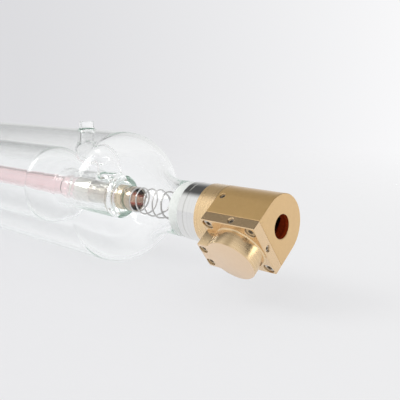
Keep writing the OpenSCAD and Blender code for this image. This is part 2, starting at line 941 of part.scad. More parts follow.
module combiner_carrier() {
    slot_t = combiner_t + 2 * fuse_gap;
    slot_r = combiner_d / 2 + fuse_gap;
    color(dark_steel)
    on_head()
    difference() {
        translate([x_pointer, 0, -carrier_depth])
            cylinder(h = carrier_depth + seat_h, r = carrier_r);
        bar_x(x_block_rear, block_len, beam_r);
        translate([x_pointer, 0, 0])
            cylinder(h = seat_h + over, r = pointer_r);
        at_combiner() {
            cylinder(h = slot_t, r = slot_r, center = true);
            translate([0, carrier_r / 2, 0])
                cube([2 * slot_r, carrier_r, slot_t], center = true);
        }
    }
}

module combiner_mirror() {
    color(zinc_selenide)
    on_head()
    at_combiner()
        cylinder(h = combiner_t, r = combiner_d / 2, center = true);
}

module pointer_plate() {
    color(brass)
    on_head()
    difference() {
        translate([x_block_rear, -head_r, seat_h])
            cube([block_len, head_d, plate_t]);
        translate([x_pointer, 0, seat_h - over])
            cylinder(h = plate_t + 2 * over, r = plate_bore / 2);
        at_corners() {
            translate([0, 0, seat_h - over])
                cylinder(h = plate_t + 2 * over, r = screw_r + play);
            translate([0, 0, plate_top - sink_h])
                cylinder(h = sink_h + over, r = sink_r);
        }
        at_cap_screws()
            translate([0, 0, plate_top - cap_screw_reach - play])
                cylinder(h = cap_screw_reach + 1, r = cap_screw_d / 2 + fuse_gap);
        at_plate_sides()
            translate([0, 0, pointer_r - $edge])
                cylinder(h = $edge, r = screw_r + fuse_gap);
    }
}

module plate_screws() {
    color(dark_steel)
    on_head()
    at_corners()
        translate([0, 0, plate_top - sink_h])
            socket_screw(screw_r, screw_reach + plate_t - sink_h, screw_head_d / 2, screw_head_h);
}

// Set screws that hold the pointer module from all four sides of the plate
module pointer_set_screws() {
    color(dark_steel)
    on_head()
    at_plate_sides()
        translate([0, 0, -set_screw_sink])
            set_screw($edge - set_screw_sink - pointer_r - fuse_gap);
}

module pointer_module() {
    step_t = 1.2;
    color("silver")
    on_head()
    translate([x_pointer, 0, z_pointer])
        difference() {
            cylinder(h = pointer_len, r = pointer_r);
            translate([0, 0, -over])
                cylinder(h = pointer_len - step_t, r = pointer_r * 0.4);
            translate([0, 0, -over])
                cylinder(h = step_t + over, r = pointer_r * 0.72);
        }
}

module pointer_lens() {
    color("lightcyan")
    on_head()
    translate([x_pointer, 0, z_pointer + 0.2])
        cylinder(h = 1, r = pointer_r * 0.72 - fuse_gap);
}

// Outline of the cap seen from above: a disc with a tab to the rear
module cap_outline() {
    half = tab_w / 2;
    both = cap_r + tab_fillet;
    fillet_y = half + tab_fillet;
    fillet_x = sqrt(both * both - fillet_y * fillet_y);
    share = cap_r / both;
    circle(r = cap_r);
    translate([pointer_set - block_len, -half])
        square([block_len - pointer_set, tab_w]);
    for (side = [-1, 1])
        scale([1, side])
            difference() {
                polygon([[-fillet_x, half], [-fillet_x, fillet_y],
                    [-fillet_x * share, fillet_y * share], [0, half]]);
                translate([-fillet_x, fillet_y])
                    circle(r = tab_fillet - edge_lip);
            }
}

module pointer_cap() {
    wall_lap = 1;
    color(brass)
    on_head()
    difference() {
        translate([x_pointer, 0, plate_top]) {
            linear_extrude(height = cap_h)
                cap_outline();
            rotate_extrude()
                difference() {
                    translate([cap_r - wall_lap, 0])
                        square([cap_fillet + wall_lap, cap_fillet]);
                    translate([cap_r + cap_fillet, cap_fillet])
                        circle(r = cap_fillet - edge_lip, $fn = 32);
                }
        }
        translate([x_pointer, 0, plate_top - over])
            cylinder(h = cap_h - roof_t + over, r = pocket_d / 2);
        at_cap_screws() {
            translate([0, 0, plate_top - over])
                cylinder(h = cap_h + 2 * over, r = cap_screw_d / 2 + play);
            translate([0, 0, cap_top - cap_sink_h])
                cylinder(h = cap_sink_h + over, r = cap_sink_r);
        }
    }
}

module cap_screws() {
    color(dark_steel)
    on_head()
    at_cap_screws()
        translate([0, 0, cap_top - cap_sink_h])
            socket_screw(cap_screw_d / 2, cap_h - cap_sink_h + cap_screw_reach,
                cap_screw_head_d / 2, cap_screw_head_h);
}

outer_envelope();
water_jacket();
discharge_tube();
front_electrode_sleeve();
rear_electrode_sleeve();
outlet_elbow();
outlet_nozzle();
inlet_nozzle();
gas_return_coil();
spring_supports();
cathode();
cathode_spring();
anode();
anode_spring();
front_ferrule();
mirror_ring();
output_mirror();
output_seal();
output_retainer();
head_block();
ring_set_screws();
combiner_carrier();
combiner_mirror();
pointer_plate();
plate_screws();
pointer_set_screws();
pointer_module();
pointer_lens();
pointer_cap();
cap_screws();
rear_ferrule();
rear_mount();
rear_mirror();
rear_seal();
rear_cover();
terminal_screw();
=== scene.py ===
# %% [markdown]
# # A sealed CO2 laser tube with a gold beam head
#
# The real object is a glass tube 1.2 m long. Inside the clear envelope run a water jacket and a thin
# discharge tube, and a small machined head at the front end lets the beam out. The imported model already
# holds every piece at its real place, so this file adds what a solid model can't hold: glass that bends
# light, turned and blasted metal, and soft studio light.

# %% Load the frame and measure it
import math
import bmesh
import bpy
import numpy as np
from mathutils import Matrix, Vector


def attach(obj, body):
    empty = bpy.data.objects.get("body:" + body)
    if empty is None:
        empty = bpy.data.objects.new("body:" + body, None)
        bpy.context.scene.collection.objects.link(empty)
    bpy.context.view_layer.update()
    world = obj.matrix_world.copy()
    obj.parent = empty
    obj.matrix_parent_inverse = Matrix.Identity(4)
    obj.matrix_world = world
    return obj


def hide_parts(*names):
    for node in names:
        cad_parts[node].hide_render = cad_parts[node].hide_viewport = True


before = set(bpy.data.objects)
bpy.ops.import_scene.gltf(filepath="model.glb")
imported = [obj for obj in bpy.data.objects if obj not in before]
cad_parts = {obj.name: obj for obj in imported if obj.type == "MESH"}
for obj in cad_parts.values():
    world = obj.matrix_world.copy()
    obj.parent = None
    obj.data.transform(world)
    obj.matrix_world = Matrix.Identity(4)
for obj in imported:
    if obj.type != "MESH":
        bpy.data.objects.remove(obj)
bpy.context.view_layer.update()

# %% [markdown]
# ## The camera
#
# A long view along the tube hides its length, and a short lens would swell the head. A 52 mm lens not
# quite 0.3 m from the head shows both the aperture and the glass behind it. The camera is made
# first, because every later choice of detail depends on how large a piece is in the picture.

# %% Camera
eye = Vector((0.15263, -0.23114, 0.06709))
look = Vector((-0.65308, 0.73235, -0.19274))
lens = bpy.data.cameras.new("camera")
lens.sensor_width, lens.lens, lens.clip_start, lens.clip_end = 36.0, 52.2, 0.01, 60.0
camera = bpy.data.objects.new("camera", lens)
camera.location = eye
camera.rotation_euler = look.to_track_quat("-Z", "Y").to_euler()
bpy.context.scene.collection.objects.link(camera)
bpy.context.scene.camera = camera
print("camera to aperture:", round(eye.length * 1000), "mm")

# %% [markdown]
# ## Skins over rings of points
#
# Almost every piece here is round: a lathed wall, a bent tube, a wire. All of them are one idea, a skin
# laid over a row of rings, so one helper makes them all. A modifier such as Screw would turn a profile
# too, but it couldn't follow a bend or meet another tube in a saddle. Sizes are in millimetres, as on a
# drawing, and the helper turns them into metres.

# %% Skin over rings
MM = 0.001


def shade(mesh, sharp_deg=35):
    """Smooth shading that keeps the edges sharper than the angle."""
    mesh.polygons.foreach_set("use_smooth", [True] * len(mesh.polygons))
    mesh.set_sharp_from_angle(angle=math.radians(sharp_deg))


def to_object(name, bm, matrix=None, sharp_deg=35):
    """Turns a bmesh in metres into a clean, smooth-shaded object."""
    bmesh.ops.remove_doubles(bm, verts=bm.verts, dist=2e-7)
    bmesh.ops.delete(bm, geom=[e for e in bm.edges if not e.link_faces], context="EDGES")
    bmesh.ops.recalc_face_normals(bm, faces=bm.faces)
    mesh = bpy.data.meshes.new(name)
    bm.to_mesh(mesh)
    bm.free()
    if matrix is not None:
        mesh.transform(matrix)
    shade(mesh, sharp_deg)
    piece = bpy.data.objects.new(name, mesh)
    bpy.context.scene.collection.objects.link(piece)
    return piece


def skin(name, rings, closed=True, matrix=None, sharp_deg=35):
    """A skin over rings of equally many points, in mm. A closed skin joins the last ring to the first."""
    bm = bmesh.new()
    rows = [[bm.verts.new(Vector(point) * MM) for point in ring] for ring in rings]
    follows = list(zip(rows, rows[1:])) + ([(rows[-1], rows[0])] if closed else [])
    for one, two in follows:
        for i in range(len(one)):
            k = (i + 1) % len(one)
            bm.faces.new((one[i], one[k], two[k], two[i]))
    return to_object(name, bm, matrix, sharp_deg)


def turned(name, profile, sides=96, matrix=None, sharp_deg=35):
    """A closed profile of (radius, x) points, turned about the X axis."""
    angles = np.linspace(0, 2 * math.pi, sides, endpoint=False)
    rings = [[(x, r * math.cos(a), r * math.sin(a)) for a in angles] for r, x in profile]
    return skin(name, rings, True, matrix, sharp_deg)


# %% [markdown]
# ## Dressing a piece
#
# Each piece rides on the one body of this part and takes the place of its plain solid. Doing this in one
# helper keeps a piece from being left without either.

# %% Dress a piece or a solid
def dress(piece, material, slot, *nodes):
    """Gives a piece its material and its body, and hides the solids that it stands for. Its slot is not used."""
    piece.data.materials.clear()
    piece.data.materials.append(material)
    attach(piece, "root")
    if nodes:
        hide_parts(*nodes)
    print(f"{piece.name}: {len(piece.data.polygons)} faces, {material.name}")
    return piece


def dress_solids(material, *nodes):
    """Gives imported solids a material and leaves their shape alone."""
    for node in nodes:
        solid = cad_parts[node]
        for slot in solid.material_slots:
            slot.material = material
    print(f"{', '.join(nodes)}: {material.name}")


# %% [markdown]
# ## Node helpers
#
# Materials are node trees. A short helper that makes a node and fills or links its sockets keeps each
# recipe readable. Effects that several finishes share become groups, so that a change is made once.

# %% Node and group helpers
def put(tree, kind, sockets=(), **settings):
    """Adds a node. Each (name or index, value) pair fills a socket, or links it when value is a socket."""
    made = tree.nodes.new(kind)
    for key, value in settings.items():
        setattr(made, key, value)
    for key, value in sockets:
        if isinstance(value, bpy.types.NodeSocket):
            tree.links.new(value, made.inputs[key])
        else:
            made.inputs[key].default_value = value
    return made


def blend_colours(tree, factor, one, two):
    """Colour one where factor is 0, colour two where it is 1."""
    mix = put(tree, "ShaderNodeMix", [(0, factor), (6, one), (7, two)], data_type="RGBA")
    return mix.outputs[2]


def figure(tree, operation, *values):
    """A Math node's result."""
    return put(tree, "ShaderNodeMath", list(enumerate(values)), operation=operation).outputs[0]


def mix_shaders(tree, factor, one, two):
    """Shader one where factor is 0, shader two where it is 1."""
    return put(tree, "ShaderNodeMixShader", [(0, factor), (1, one), (2, two)]).outputs[0]


def object_position(tree):
    """The surface point in the object's own space, so that a pattern keeps its place on the object."""
    return put(tree, "ShaderNodeTexCoord").outputs["Object"]


def add_relief(tree, shader, height, depth, strength=1.0):
    """Small relief on a shader from a height between 0 and 1. The depth is in metres."""
    bump = put(tree, "ShaderNodeBump", [("Strength", strength), ("Distance", depth), ("Height", height)])
    tree.links.new(bump.outputs["Normal"], shader.inputs["Normal"])


def spread(tree, value, low, high, to_low=0.0, to_high=1.0, smooth=False):
    """Maps value from one range to another and clamps it."""
    kind = "SMOOTHSTEP" if smooth else "LINEAR"
    pairs = [("Value", value), ("From Min", low), ("From Max", high), ("To Min", to_low), ("To Max", to_high)]
    return put(tree, "ShaderNodeMapRange", pairs, interpolation_type=kind).outputs["Result"]


def new_group(name, inputs, outputs):
    """An empty shader group with named sockets, its input node and its output node."""
    group = bpy.data.node_groups.new(name, "ShaderNodeTree")
    for label, kind, value in inputs:
        socket = group.interface.new_socket(label, in_out="INPUT", socket_type=kind)
        if value is not None:
            socket.default_value = value
    for label, kind in outputs:
        group.interface.new_socket(label, in_out="OUTPUT", socket_type=kind)
    return group, group.nodes.new("NodeGroupInput"), group.nodes.new("NodeGroupOutput")


def use_group(tree, group, *sockets):
    """Places a group in a tree and fills its inputs."""
    return put(tree, "ShaderNodeGroup", sockets, node_tree=group)


def new_material(name, **sockets):
    """A material with a Principled shader, whose plain values are given by name."""
    material = bpy.data.materials.new(name)
    material.use_nodes = True
    shader = material.node_tree.nodes["Principled BSDF"]
    for key, value in sockets.items():
        shader.inputs[key.replace("_", " ").title().replace("Ior", "IOR")].default_value = value
    return material, material.node_tree, shader


# %% [markdown]
# ## Shared effects
#
# Five effects come back again and again on this object: the fine grain of blasted metal, the rings that
# a lathe leaves, edges rubbed bright, smudges from handling, and the long faint ripples of drawn glass.

# %% Group: blasted grain
grain_group, gin, gout = new_group(
    "Blasted grain",
    [("Position", "NodeSocketVector", None), ("Grains per metre", "NodeSocketFloat", 3000.0)],
    [("Height", "NodeSocketFloat"), ("Tone", "NodeSocketFloat")])
fine = put(grain_group, "ShaderNodeTexNoise",
           [("Vector", gin.outputs["Position"]), ("Scale", gin.outputs["Grains per metre"]), ("Detail", 3.0)])
sparse = figure(grain_group, "MULTIPLY", gin.outputs["Grains per metre"], 0.15)
coarse = put(grain_group, "ShaderNodeTexNoise",
             [("Vector", gin.outputs["Position"]), ("Scale", sparse), ("Detail", 2.0)])
grain_group.links.new(fine.outputs["Fac"], gout.inputs["Height"])
grain_group.links.new(figure(grain_group, "MULTIPLY_ADD", fine.outputs["Fac"], 0.6,
                             figure(grain_group, "MULTIPLY", coarse.outputs["Fac"], 0.4)), gout.inputs["Tone"])

# %% Group: lathe rings
rings_group, gin, gout = new_group(
    "Lathe rings",
    [("Position", "NodeSocketVector", None), ("Rings per metre", "NodeSocketFloat", 4000.0)],
    [("Height", "NodeSocketFloat"), ("Band", "NodeSocketFloat")])
parts = put(rings_group, "ShaderNodeSeparateXYZ", [("Vector", gin.outputs["Position"])])
radius = figure(rings_group, "SQRT", figure(
    rings_group, "ADD", figure(rings_group, "MULTIPLY", parts.outputs["Y"], parts.outputs["Y"]),
    figure(rings_group, "MULTIPLY", parts.outputs["Z"], parts.outputs["Z"])))
along = figure(rings_group, "ADD", parts.outputs["X"], radius)
cut_marks = put(rings_group, "ShaderNodeTexNoise",
                [("W", figure(rings_group, "MULTIPLY", along, gin.outputs["Rings per metre"])), ("Scale", 1.0),
                 ("Detail", 2.0)], noise_dimensions="1D")
wide_rings = figure(rings_group, "MULTIPLY", gin.outputs["Rings per metre"], 0.12)
slow = put(rings_group, "ShaderNodeTexNoise",
           [("W", figure(rings_group, "MULTIPLY", along, wide_rings)), ("Scale", 1.0), ("Detail", 1.0)],
           noise_dimensions="1D")
rings_group.links.new(cut_marks.outputs["Fac"], gout.inputs["Height"])
rings_group.links.new(slow.outputs["Fac"], gout.inputs["Band"])

# %% Group: rubbed edges
edge_group, gin, gout = new_group(
    "Rubbed edges", [("Radius", "NodeSocketFloat", 0.0003)], [("Mask", "NodeSocketFloat")])
rounded = put(edge_group, "ShaderNodeBevel", [("Radius", gin.outputs["Radius"])], samples=4)
flat = put(edge_group, "ShaderNodeNewGeometry")
agree = put(edge_group, "ShaderNodeVectorMath", [(0, rounded.outputs["Normal"]), (1, flat.outputs["Normal"])],
            operation="DOT_PRODUCT").outputs["Value"]
edge_group.links.new(spread(edge_group, agree, 0.97, 0.80), gout.inputs["Mask"])

# %% Group: handling marks
marks_group, gin, gout = new_group(
    "Handling marks", [("Position", "NodeSocketVector", None), ("Scale", "NodeSocketFloat", 60.0)],
    [("Mask", "NodeSocketFloat")])
cloud = put(marks_group, "ShaderNodeTexNoise",
            [("Vector", gin.outputs["Position"]), ("Scale", gin.outputs["Scale"]), ("Detail", 4.0),
             ("Distortion", 0.6)])
marks_group.links.new(spread(marks_group, cloud.outputs["Fac"], 0.42, 0.68), gout.inputs["Mask"])

# %% Group: drawn glass ripples
ripple_group, gin, gout = new_group(
    "Drawn glass", [("Position", "NodeSocketVector", None), ("Ripples per metre", "NodeSocketFloat", 160.0)],
    [("Height", "NodeSocketFloat")])
stretched = put(ripple_group, "ShaderNodeVectorMath", [(0, gin.outputs["Position"]), (1, (0.12, 1.0, 1.0))],
                operation="MULTIPLY").outputs[0]
wave = put(ripple_group, "ShaderNodeTexNoise",
           [("Vector", stretched), ("Scale", gin.outputs["Ripples per metre"]), ("Detail", 1.0)])
ripple_group.links.new(wave.outputs["Fac"], gout.inputs["Height"])
print("groups:", [g.name for g in bpy.data.node_groups])

# %% [markdown]
# ## Clear glass
#
# Borosilicate glass is nearly colourless across a 2.5 mm wall, but it turns grey-green where you look
# along the wall. Tinting the surface would colour the thin parts as well, so the tint is an absorption
# inside the glass, which grows with the distance that light travels. Lamps can't shine through bent
# glass without noise, so rays that only test for shadow pass straight through.
#
# Real borosilicate has an index of 1.47. It is set lower here, and lowest for the thin blown elbow and
# nozzles, so that four nested walls bend the view behind them less. That is a choice of looks. A ray that
# gets trapped inside a wall would end black, so after many bounces the glass gives it a painted pale glow.

# %% Clear glass
TRAPPED_AFTER = 30.0


def glass_material(name, tint, absorb, density, ripples, depth, roughness=0.0, ior=1.35):
    """Glass with faint ripples and a tint that grows with its thickness. Density 0 means no tint inside."""
    material, tree, shader = new_material(name, base_color=(*tint, 1), roughness=roughness, ior=ior,
                                          specular_ior_level=0.35, transmission_weight=1.0)
    ripple = use_group(tree, ripple_group, ("Position", object_position(tree)), ("Ripples per metre", ripples))
    add_relief(tree, shader, ripple.outputs["Height"], depth)
    open_air = put(tree, "ShaderNodeBsdfTransparent", [("Color", (0.985, 0.99, 0.99, 1))]).outputs[0]
    ray = put(tree, "ShaderNodeLightPath")
    diffuse = mix_shaders(tree, ray.outputs["Is Diffuse Ray"], shader.outputs[0], open_air)
    lamps = mix_shaders(tree, ray.outputs["Is Shadow Ray"], diffuse, open_air)
    # A painted pale glow for a ray that is still trapped in the glass after many bounces.
    trapped = figure(tree, "GREATER_THAN", ray.outputs["Ray Depth"], TRAPPED_AFTER)
    glow = put(tree, "ShaderNodeEmission", [("Color", (0.90, 0.91, 0.90, 1)), ("Strength", 1.0)]).outputs[0]
    output = tree.nodes["Material Output"]
    tree.links.new(mix_shaders(tree, trapped, lamps, glow), output.inputs["Surface"])
    if density:
        inside = put(tree, "ShaderNodeVolumeAbsorption", [("Color", (*absorb, 1)), ("Density", density)])
        tree.links.new(inside.outputs[0], output.inputs["Volume"])
    return material


GREY_GREEN = (0.65, 0.745, 0.70)
clear_glass = glass_material("Clear borosilicate", (1, 1, 1), GREY_GREEN, 14.0, 130.0, 0.00002)
pink_glass = glass_material("Pink discharge tube", (0.99, 0.90, 0.905), (0.95, 0.58, 0.61), 31.0, 300.0, 0.00002)
tap_glass = glass_material("Thin blown glass", (1, 1, 1), GREY_GREEN, 10.0, 130.0, 0.00002, ior=1.22)
lens_glass = glass_material("Pointer lens", (0.93, 0.97, 1.0), (0.8, 0.9, 1.0), 0.0, 50.0, 0.0, 0.01, 1.52)

# %% [markdown]
# ## Gold-coloured metal
#
# The head is machined metal with a pale gold surface. Three finishes of it differ only in how the
# surface was cut: the block is blasted fine, the round pieces keep their lathe rings, and the plate is
# milled smoother, so that it mirrors the dark side of the room. A clear coat lies over each of them. It
# gives the pale sheen at flat angles that bare metal of this colour wouldn't have.

# %% Gold finishes
def metal_material(name, colour, deep, rough, grain=None, rings=None, turn=None, wear=0.5, depth=0.000006,
                   marks=0.08, edge=0.00025, metallic=1.0, coat=0.0):
    """Metal whose tone, gloss and relief come from the shared effects."""
    material, tree, shader = new_material(name, metallic=metallic, coat_weight=coat, coat_roughness=0.22,
                                          coat_ior=1.8)
    where = object_position(tree)
    if turn is not None:
        where = put(tree, "ShaderNodeMapping", [("Vector", where), ("Location", turn[0]), ("Rotation", turn[1])],
                    vector_type="POINT").outputs[0]
    if rings:
        relief = use_group(tree, rings_group, ("Position", where), ("Rings per metre", rings))
        tone = relief.outputs["Band"]
    else:
        relief = use_group(tree, grain_group, ("Position", where), ("Grains per metre", grain))
        tone = relief.outputs["Tone"]
    smudge = use_group(tree, marks_group, ("Position", where), ("Scale", 55.0)).outputs["Mask"]
    rubbed = use_group(tree, edge_group, ("Radius", edge)).outputs["Mask"]
    body = blend_colours(tree, spread(tree, tone, 0.3, 0.7), (*deep, 1), (*colour, 1))
    bright = tuple(min(1.0, c * 1.08 + 0.05) for c in colour)
    worn = blend_colours(tree, figure(tree, "MULTIPLY", rubbed, wear), body, (*bright, 1))
    tree.links.new(worn, shader.inputs["Base Color"])
    gloss = figure(tree, "MULTIPLY_ADD", smudge, marks, figure(tree, "MULTIPLY_ADD", tone, 0.08, rough - 0.04))
    tree.links.new(gloss, shader.inputs["Roughness"])
    add_relief(tree, shader, relief.outputs["Height"], depth)
    return material


gold_blasted = metal_material("Gold, blasted", (0.83, 0.54, 0.22), (0.76, 0.475, 0.175), 0.34, grain=3600.0,
                              depth=0.00001, metallic=0.6, coat=0.8)
gold_turned = metal_material("Gold, turned", (0.88, 0.62, 0.31), (0.82, 0.56, 0.27), 0.24, rings=5200.0,
                             metallic=0.65, coat=1.0)
gold_milled = metal_material("Gold, milled", (0.86, 0.61, 0.34), (0.81, 0.56, 0.30), 0.22, grain=5200.0,
                             depth=0.0000015, marks=0.04, metallic=0.82, coat=0.8)

# %% [markdown]
# ## The glass envelope
#
# The outer tube is 80 mm across and narrows to each end in a blown shoulder: a round bulge, then a
# hollow curve into the neck. Both curves are arcs that share a tangent, so the wall is drawn as a
# profile of arcs and turned. Many short steps matter here, because bent light shows every facet.

# %% Sizes of the glass, as in the source
X_NECK, X_REAR_NECK = -56.0, -1173.5
X_MIDDLE = (X_NECK + X_REAR_NECK) / 2
X_NECK_END, X_RIM = X_NECK - 14.0, X_NECK - 60.0
X_COLLAR_END = X_RIM - 54.0
ENVELOPE_R, NECK_R, ENVELOPE_WALL = 40.0, 15.6, 2.5
JACKET_R, COLLAR_R, JACKET_WALL = 26.3, 13.4, 1.6
SLEEVE_R, SLEEVE_WALL = 9.7, 1.4
DISCHARGE_R, BORE_R = 6.5, 5.0
ELECTRODE_R, ELECTRODE_BORE = 7.5, 6.6
X_ELECTRODE = X_RIM + 13.0
X_ELECTRODE_REAR = X_ELECTRODE - 57.0
X_ELBOW, X_OUTLET = X_RIM - 14.0, X_RIM - 35.0
X_INLET, X_COIL = X_REAR_NECK + 142.0, X_REAR_NECK + 168.0
X_SKIRT, X_SPRING_SEAT, X_FERRULE, X_BLOCK, X_REAR = -64.0, -46.0, -43.5, -32.5, -1200.0
BULGE, HOLLOW = 22.0, 37.0


def arc_points(centre_r, centre_x, radius, start, end, steps):
    """Points (radius, x) of an arc, with the angle measured from the outward direction towards +X."""
    angles = [math.radians(start + (end - start) * i / steps) for i in range(steps + 1)]
    return [(centre_r + radius * math.cos(a), centre_x + radius * math.sin(a)) for a in angles]


def shoulder(x_end, wide, narrow, bulge, hollow, steps=26):
    """Profile from radius wide down to radius narrow at x_end, as two arcs with a shared tangent."""
    fall, both = wide - narrow, bulge + hollow
    run = math.sqrt(fall * (2 * both - fall))
    sweep = math.degrees(math.atan2(run, both - fall))
    first = arc_points(wide - bulge, x_end - run, bulge, 0, sweep, steps)
    second = arc_points(narrow + hollow, x_end, hollow, 180 + sweep, 180, steps)
    return first + second[1:]


def at_rear(profile):
    """The same profile at the rear end."""
    return [(r, 2 * X_MIDDLE - x) for r, x in profile]


def both_ends(outer, inner):
    """Closed wall profile from the lines of its front end."""
    return outer + inner[::-1] + at_rear(inner) + at_rear(outer)[::-1]


print("from neck to neck:", X_NECK - X_REAR_NECK, "mm")

# %% [markdown]
# ## Cutting one piece with another
#
# A hole through a curved wall leaves an edge that no lathe profile has. Blender's Boolean modifier
# cuts it exactly. Its result is kept as a plain mesh, so that no cutter stays in the file.

# %% Cut holes
def carve(piece, *tools, sharp_deg=35):
    """Takes the tools' volume out of the piece and removes the tools."""
    for tool in tools:
        cut = piece.modifiers.new("cut", "BOOLEAN")
        cut.operation, cut.solver, cut.object = "DIFFERENCE", "EXACT", tool
    bpy.context.view_layer.update()
    mesh = bpy.data.meshes.new_from_object(piece.evaluated_get(bpy.context.evaluated_depsgraph_get()))
    piece.modifiers.clear()
    piece.data = mesh
    for tool in tools:
        bpy.data.objects.remove(tool)
    shade(mesh, sharp_deg)
    return piece


def along_line(start, direction):
    """Matrix that takes the X axis of a turned tool to a line from start, in mm."""
    turn = Vector((1, 0, 0)).rotation_difference(Vector(direction)).to_matrix().to_4x4()
    return Matrix.Translation(Vector(start) * MM) @ turn


def drill(start, direction, radius, depth, chamfer=0.0, sides=48):
    """Cutter for a hole that starts at a surface point and goes against direction, with a chamfered mouth."""
    profile = [(0, -depth), (radius, -depth), (radius, -chamfer), (radius + chamfer, 0), (radius + chamfer, 1),
               (0, 1)]
    if not chamfer:
        profile = [(0, -depth), (radius, -depth), (radius, 1), (0, 1)]
    return turned("drill", profile, sides, along_line(start, direction))


# %% Envelope
outer = shoulder(X_NECK_END, ENVELOPE_R - 0.04, NECK_R, BULGE, HOLLOW)
print("straight part of the envelope:", round(2 * (outer[0][1] - X_MIDDLE)), "mm")
outer += arc_points(NECK_R - 0.5, X_NECK - 0.5, 0.5, 0, 90, 4)
inner = shoulder(X_NECK_END, ENVELOPE_R - ENVELOPE_WALL, NECK_R - ENVELOPE_WALL,
                 BULGE - ENVELOPE_WALL, HOLLOW + ENVELOPE_WALL)
inner += arc_points(NECK_R - ENVELOPE_WALL + 0.5, X_NECK - 0.5, 0.5, 180, 90, 4)
envelope = turned("envelope", both_ends(outer, inner), 160)
carve(envelope, *[drill((x, 0, 50), (0, 0, 1), 4.95, 25) for x in (X_OUTLET, X_INLET)])
dress(envelope, clear_glass, "clear_glass", "outer_envelope")

# %% [markdown]
# ## The exhaust tip
#
# When the tube is filled, the glass stub that it was pumped through is melted shut and pulled off,
# which leaves a small drop-shaped tip. It is a closed profile with a narrow neck and a round end.

# %% Exhaust tip
tip_foot = Vector((X_COIL + 64.0, 0, 0))
tip_way = Vector((0, math.sin(math.radians(50)), math.cos(math.radians(50))))
tip_profile = [(0, -0.1), (5.2, -0.2), (4.2, 0.5), (3.4, 1.6), (3.1, 3.0), (3.0, 4.4), (2.5, 5.8), (1.6, 6.9),
               (0.8, 7.5), (0, 7.7)]
tip = turned("exhaust_tip", tip_profile, 40, along_line(tip_foot + tip_way * (ENVELOPE_R - 0.1), tip_way), 80)
dress(tip, clear_glass, "clear_glass")

# %% [markdown]
# ## The water jacket, the sleeves and the discharge tube
#
# Cooling water runs between the jacket and the discharge tube. The jacket narrows to a collar, and its
# rim is melted onto the sleeve round the electrode, so the end is a smooth half round and no cut edge.

# %% Water jacket
rim_r = (COLLAR_R - SLEEVE_R - 0.05) / 2
web_x = X_RIM - rim_r - 3.2
collar_in = COLLAR_R - JACKET_WALL
outer = shoulder(X_COLLAR_END, JACKET_R, COLLAR_R, 9.0, 6.0, 18)
outer += arc_points(COLLAR_R - rim_r, X_RIM - rim_r, rim_r, 0, 180, 14)
inner = shoulder(X_COLLAR_END, JACKET_R - JACKET_WALL, collar_in, 9.0 - JACKET_WALL, 6.0 + JACKET_WALL, 18)
inner += [(collar_in, web_x + 1.0)] + arc_points(collar_in - 0.9, web_x + 0.9, 0.9, 0, -60, 4)
inner += [(COLLAR_R - 2 * rim_r, web_x)]
jacket = turned("water_jacket_glass", both_ends(outer, inner), 128)
carve(jacket, drill((X_ELBOW, 0, 30), (0, 0, 1), 6.2, 22), drill((X_INLET, 0, 40), (0, 0, 1), 3.4, 25),
      drill((X_COIL, 40, 0), (0, 1, 0), 3.55, 25))
dress(jacket, clear_glass, "clear_glass", "water_jacket")

# %% Electrode sleeves and discharge tube
x_cone, seal_r = X_ELECTRODE_REAR - 0.1, DISCHARGE_R + 0.05
sleeve = [(SLEEVE_R - SLEEVE_WALL, X_RIM)] + arc_points(SLEEVE_R - 0.5, X_RIM - 0.5, 0.5, 90, 0, 4)
sleeve += [(SLEEVE_R, x_cone), (SLEEVE_R - 0.3, x_cone - 1.2), (seal_r + SLEEVE_WALL + 0.25, x_cone - 7.6),
           (seal_r + SLEEVE_WALL, x_cone - 9), (seal_r, x_cone - 9), (seal_r, x_cone - SLEEVE_WALL),
           (SLEEVE_R - SLEEVE_WALL, x_cone)]
dress(turned("front_sleeve", sleeve, 96, sharp_deg=50), clear_glass, "clear_glass", "front_electrode_sleeve")
dress(turned("rear_sleeve", at_rear(sleeve), 96, sharp_deg=50), clear_glass, "clear_glass", "rear_electrode_sleeve")
x_bore = X_ELECTRODE_REAR + 8.0
tube = [(DISCHARGE_R, x_bore - 0.4), (DISCHARGE_R - 0.4, x_bore), (BORE_R + 0.4, x_bore), (BORE_R, x_bore - 0.4)]
dress(turned("discharge_glass", tube + at_rear(tube)[::-1], 96), pink_glass, "pink_glass", "discharge_tube")

# %% [markdown]
# ## Elbow and nozzles
#
# Water leaves the jacket through a bent tube that is melted onto the collar, and a short nozzle stands
# on it. Melted glass never meets at a sharp corner, so each foot spreads a little and follows the
# surface that it stands on. That saddle is worked out point by point, because no primitive has it.

# %% Saddle feet
TURN = [2 * math.pi * i / 48 for i in range(48)]


def over_cylinder(radius):
    """Height of a cylinder along X above the axis, at a distance y from its crown."""
    return lambda x, y: math.sqrt(max(radius * radius - y * y, 0))


def foot_rings(x0, radius, spread_by, surface, z_top, steps=7):
    """Rings from a spread foot on a surface up to a level ring."""
    rings = []
    for i in range(steps + 1):
        t = i / steps
        r = radius + spread_by * (1 - t) ** 2.2
        rings.append([(x0 + r * math.cos(a), r * math.sin(a),
                       surface(r * math.cos(a), r * math.sin(a)) * (1 - t) + z_top * t) for a in TURN])
    return rings


def level_ring(x0, radius, z):
    return [(x0 + radius * math.cos(a), radius * math.sin(a), z) for a in TURN]


# %% Outlet elbow
BEND, Z_FOOT, Z_LEG = 9, 16, 25


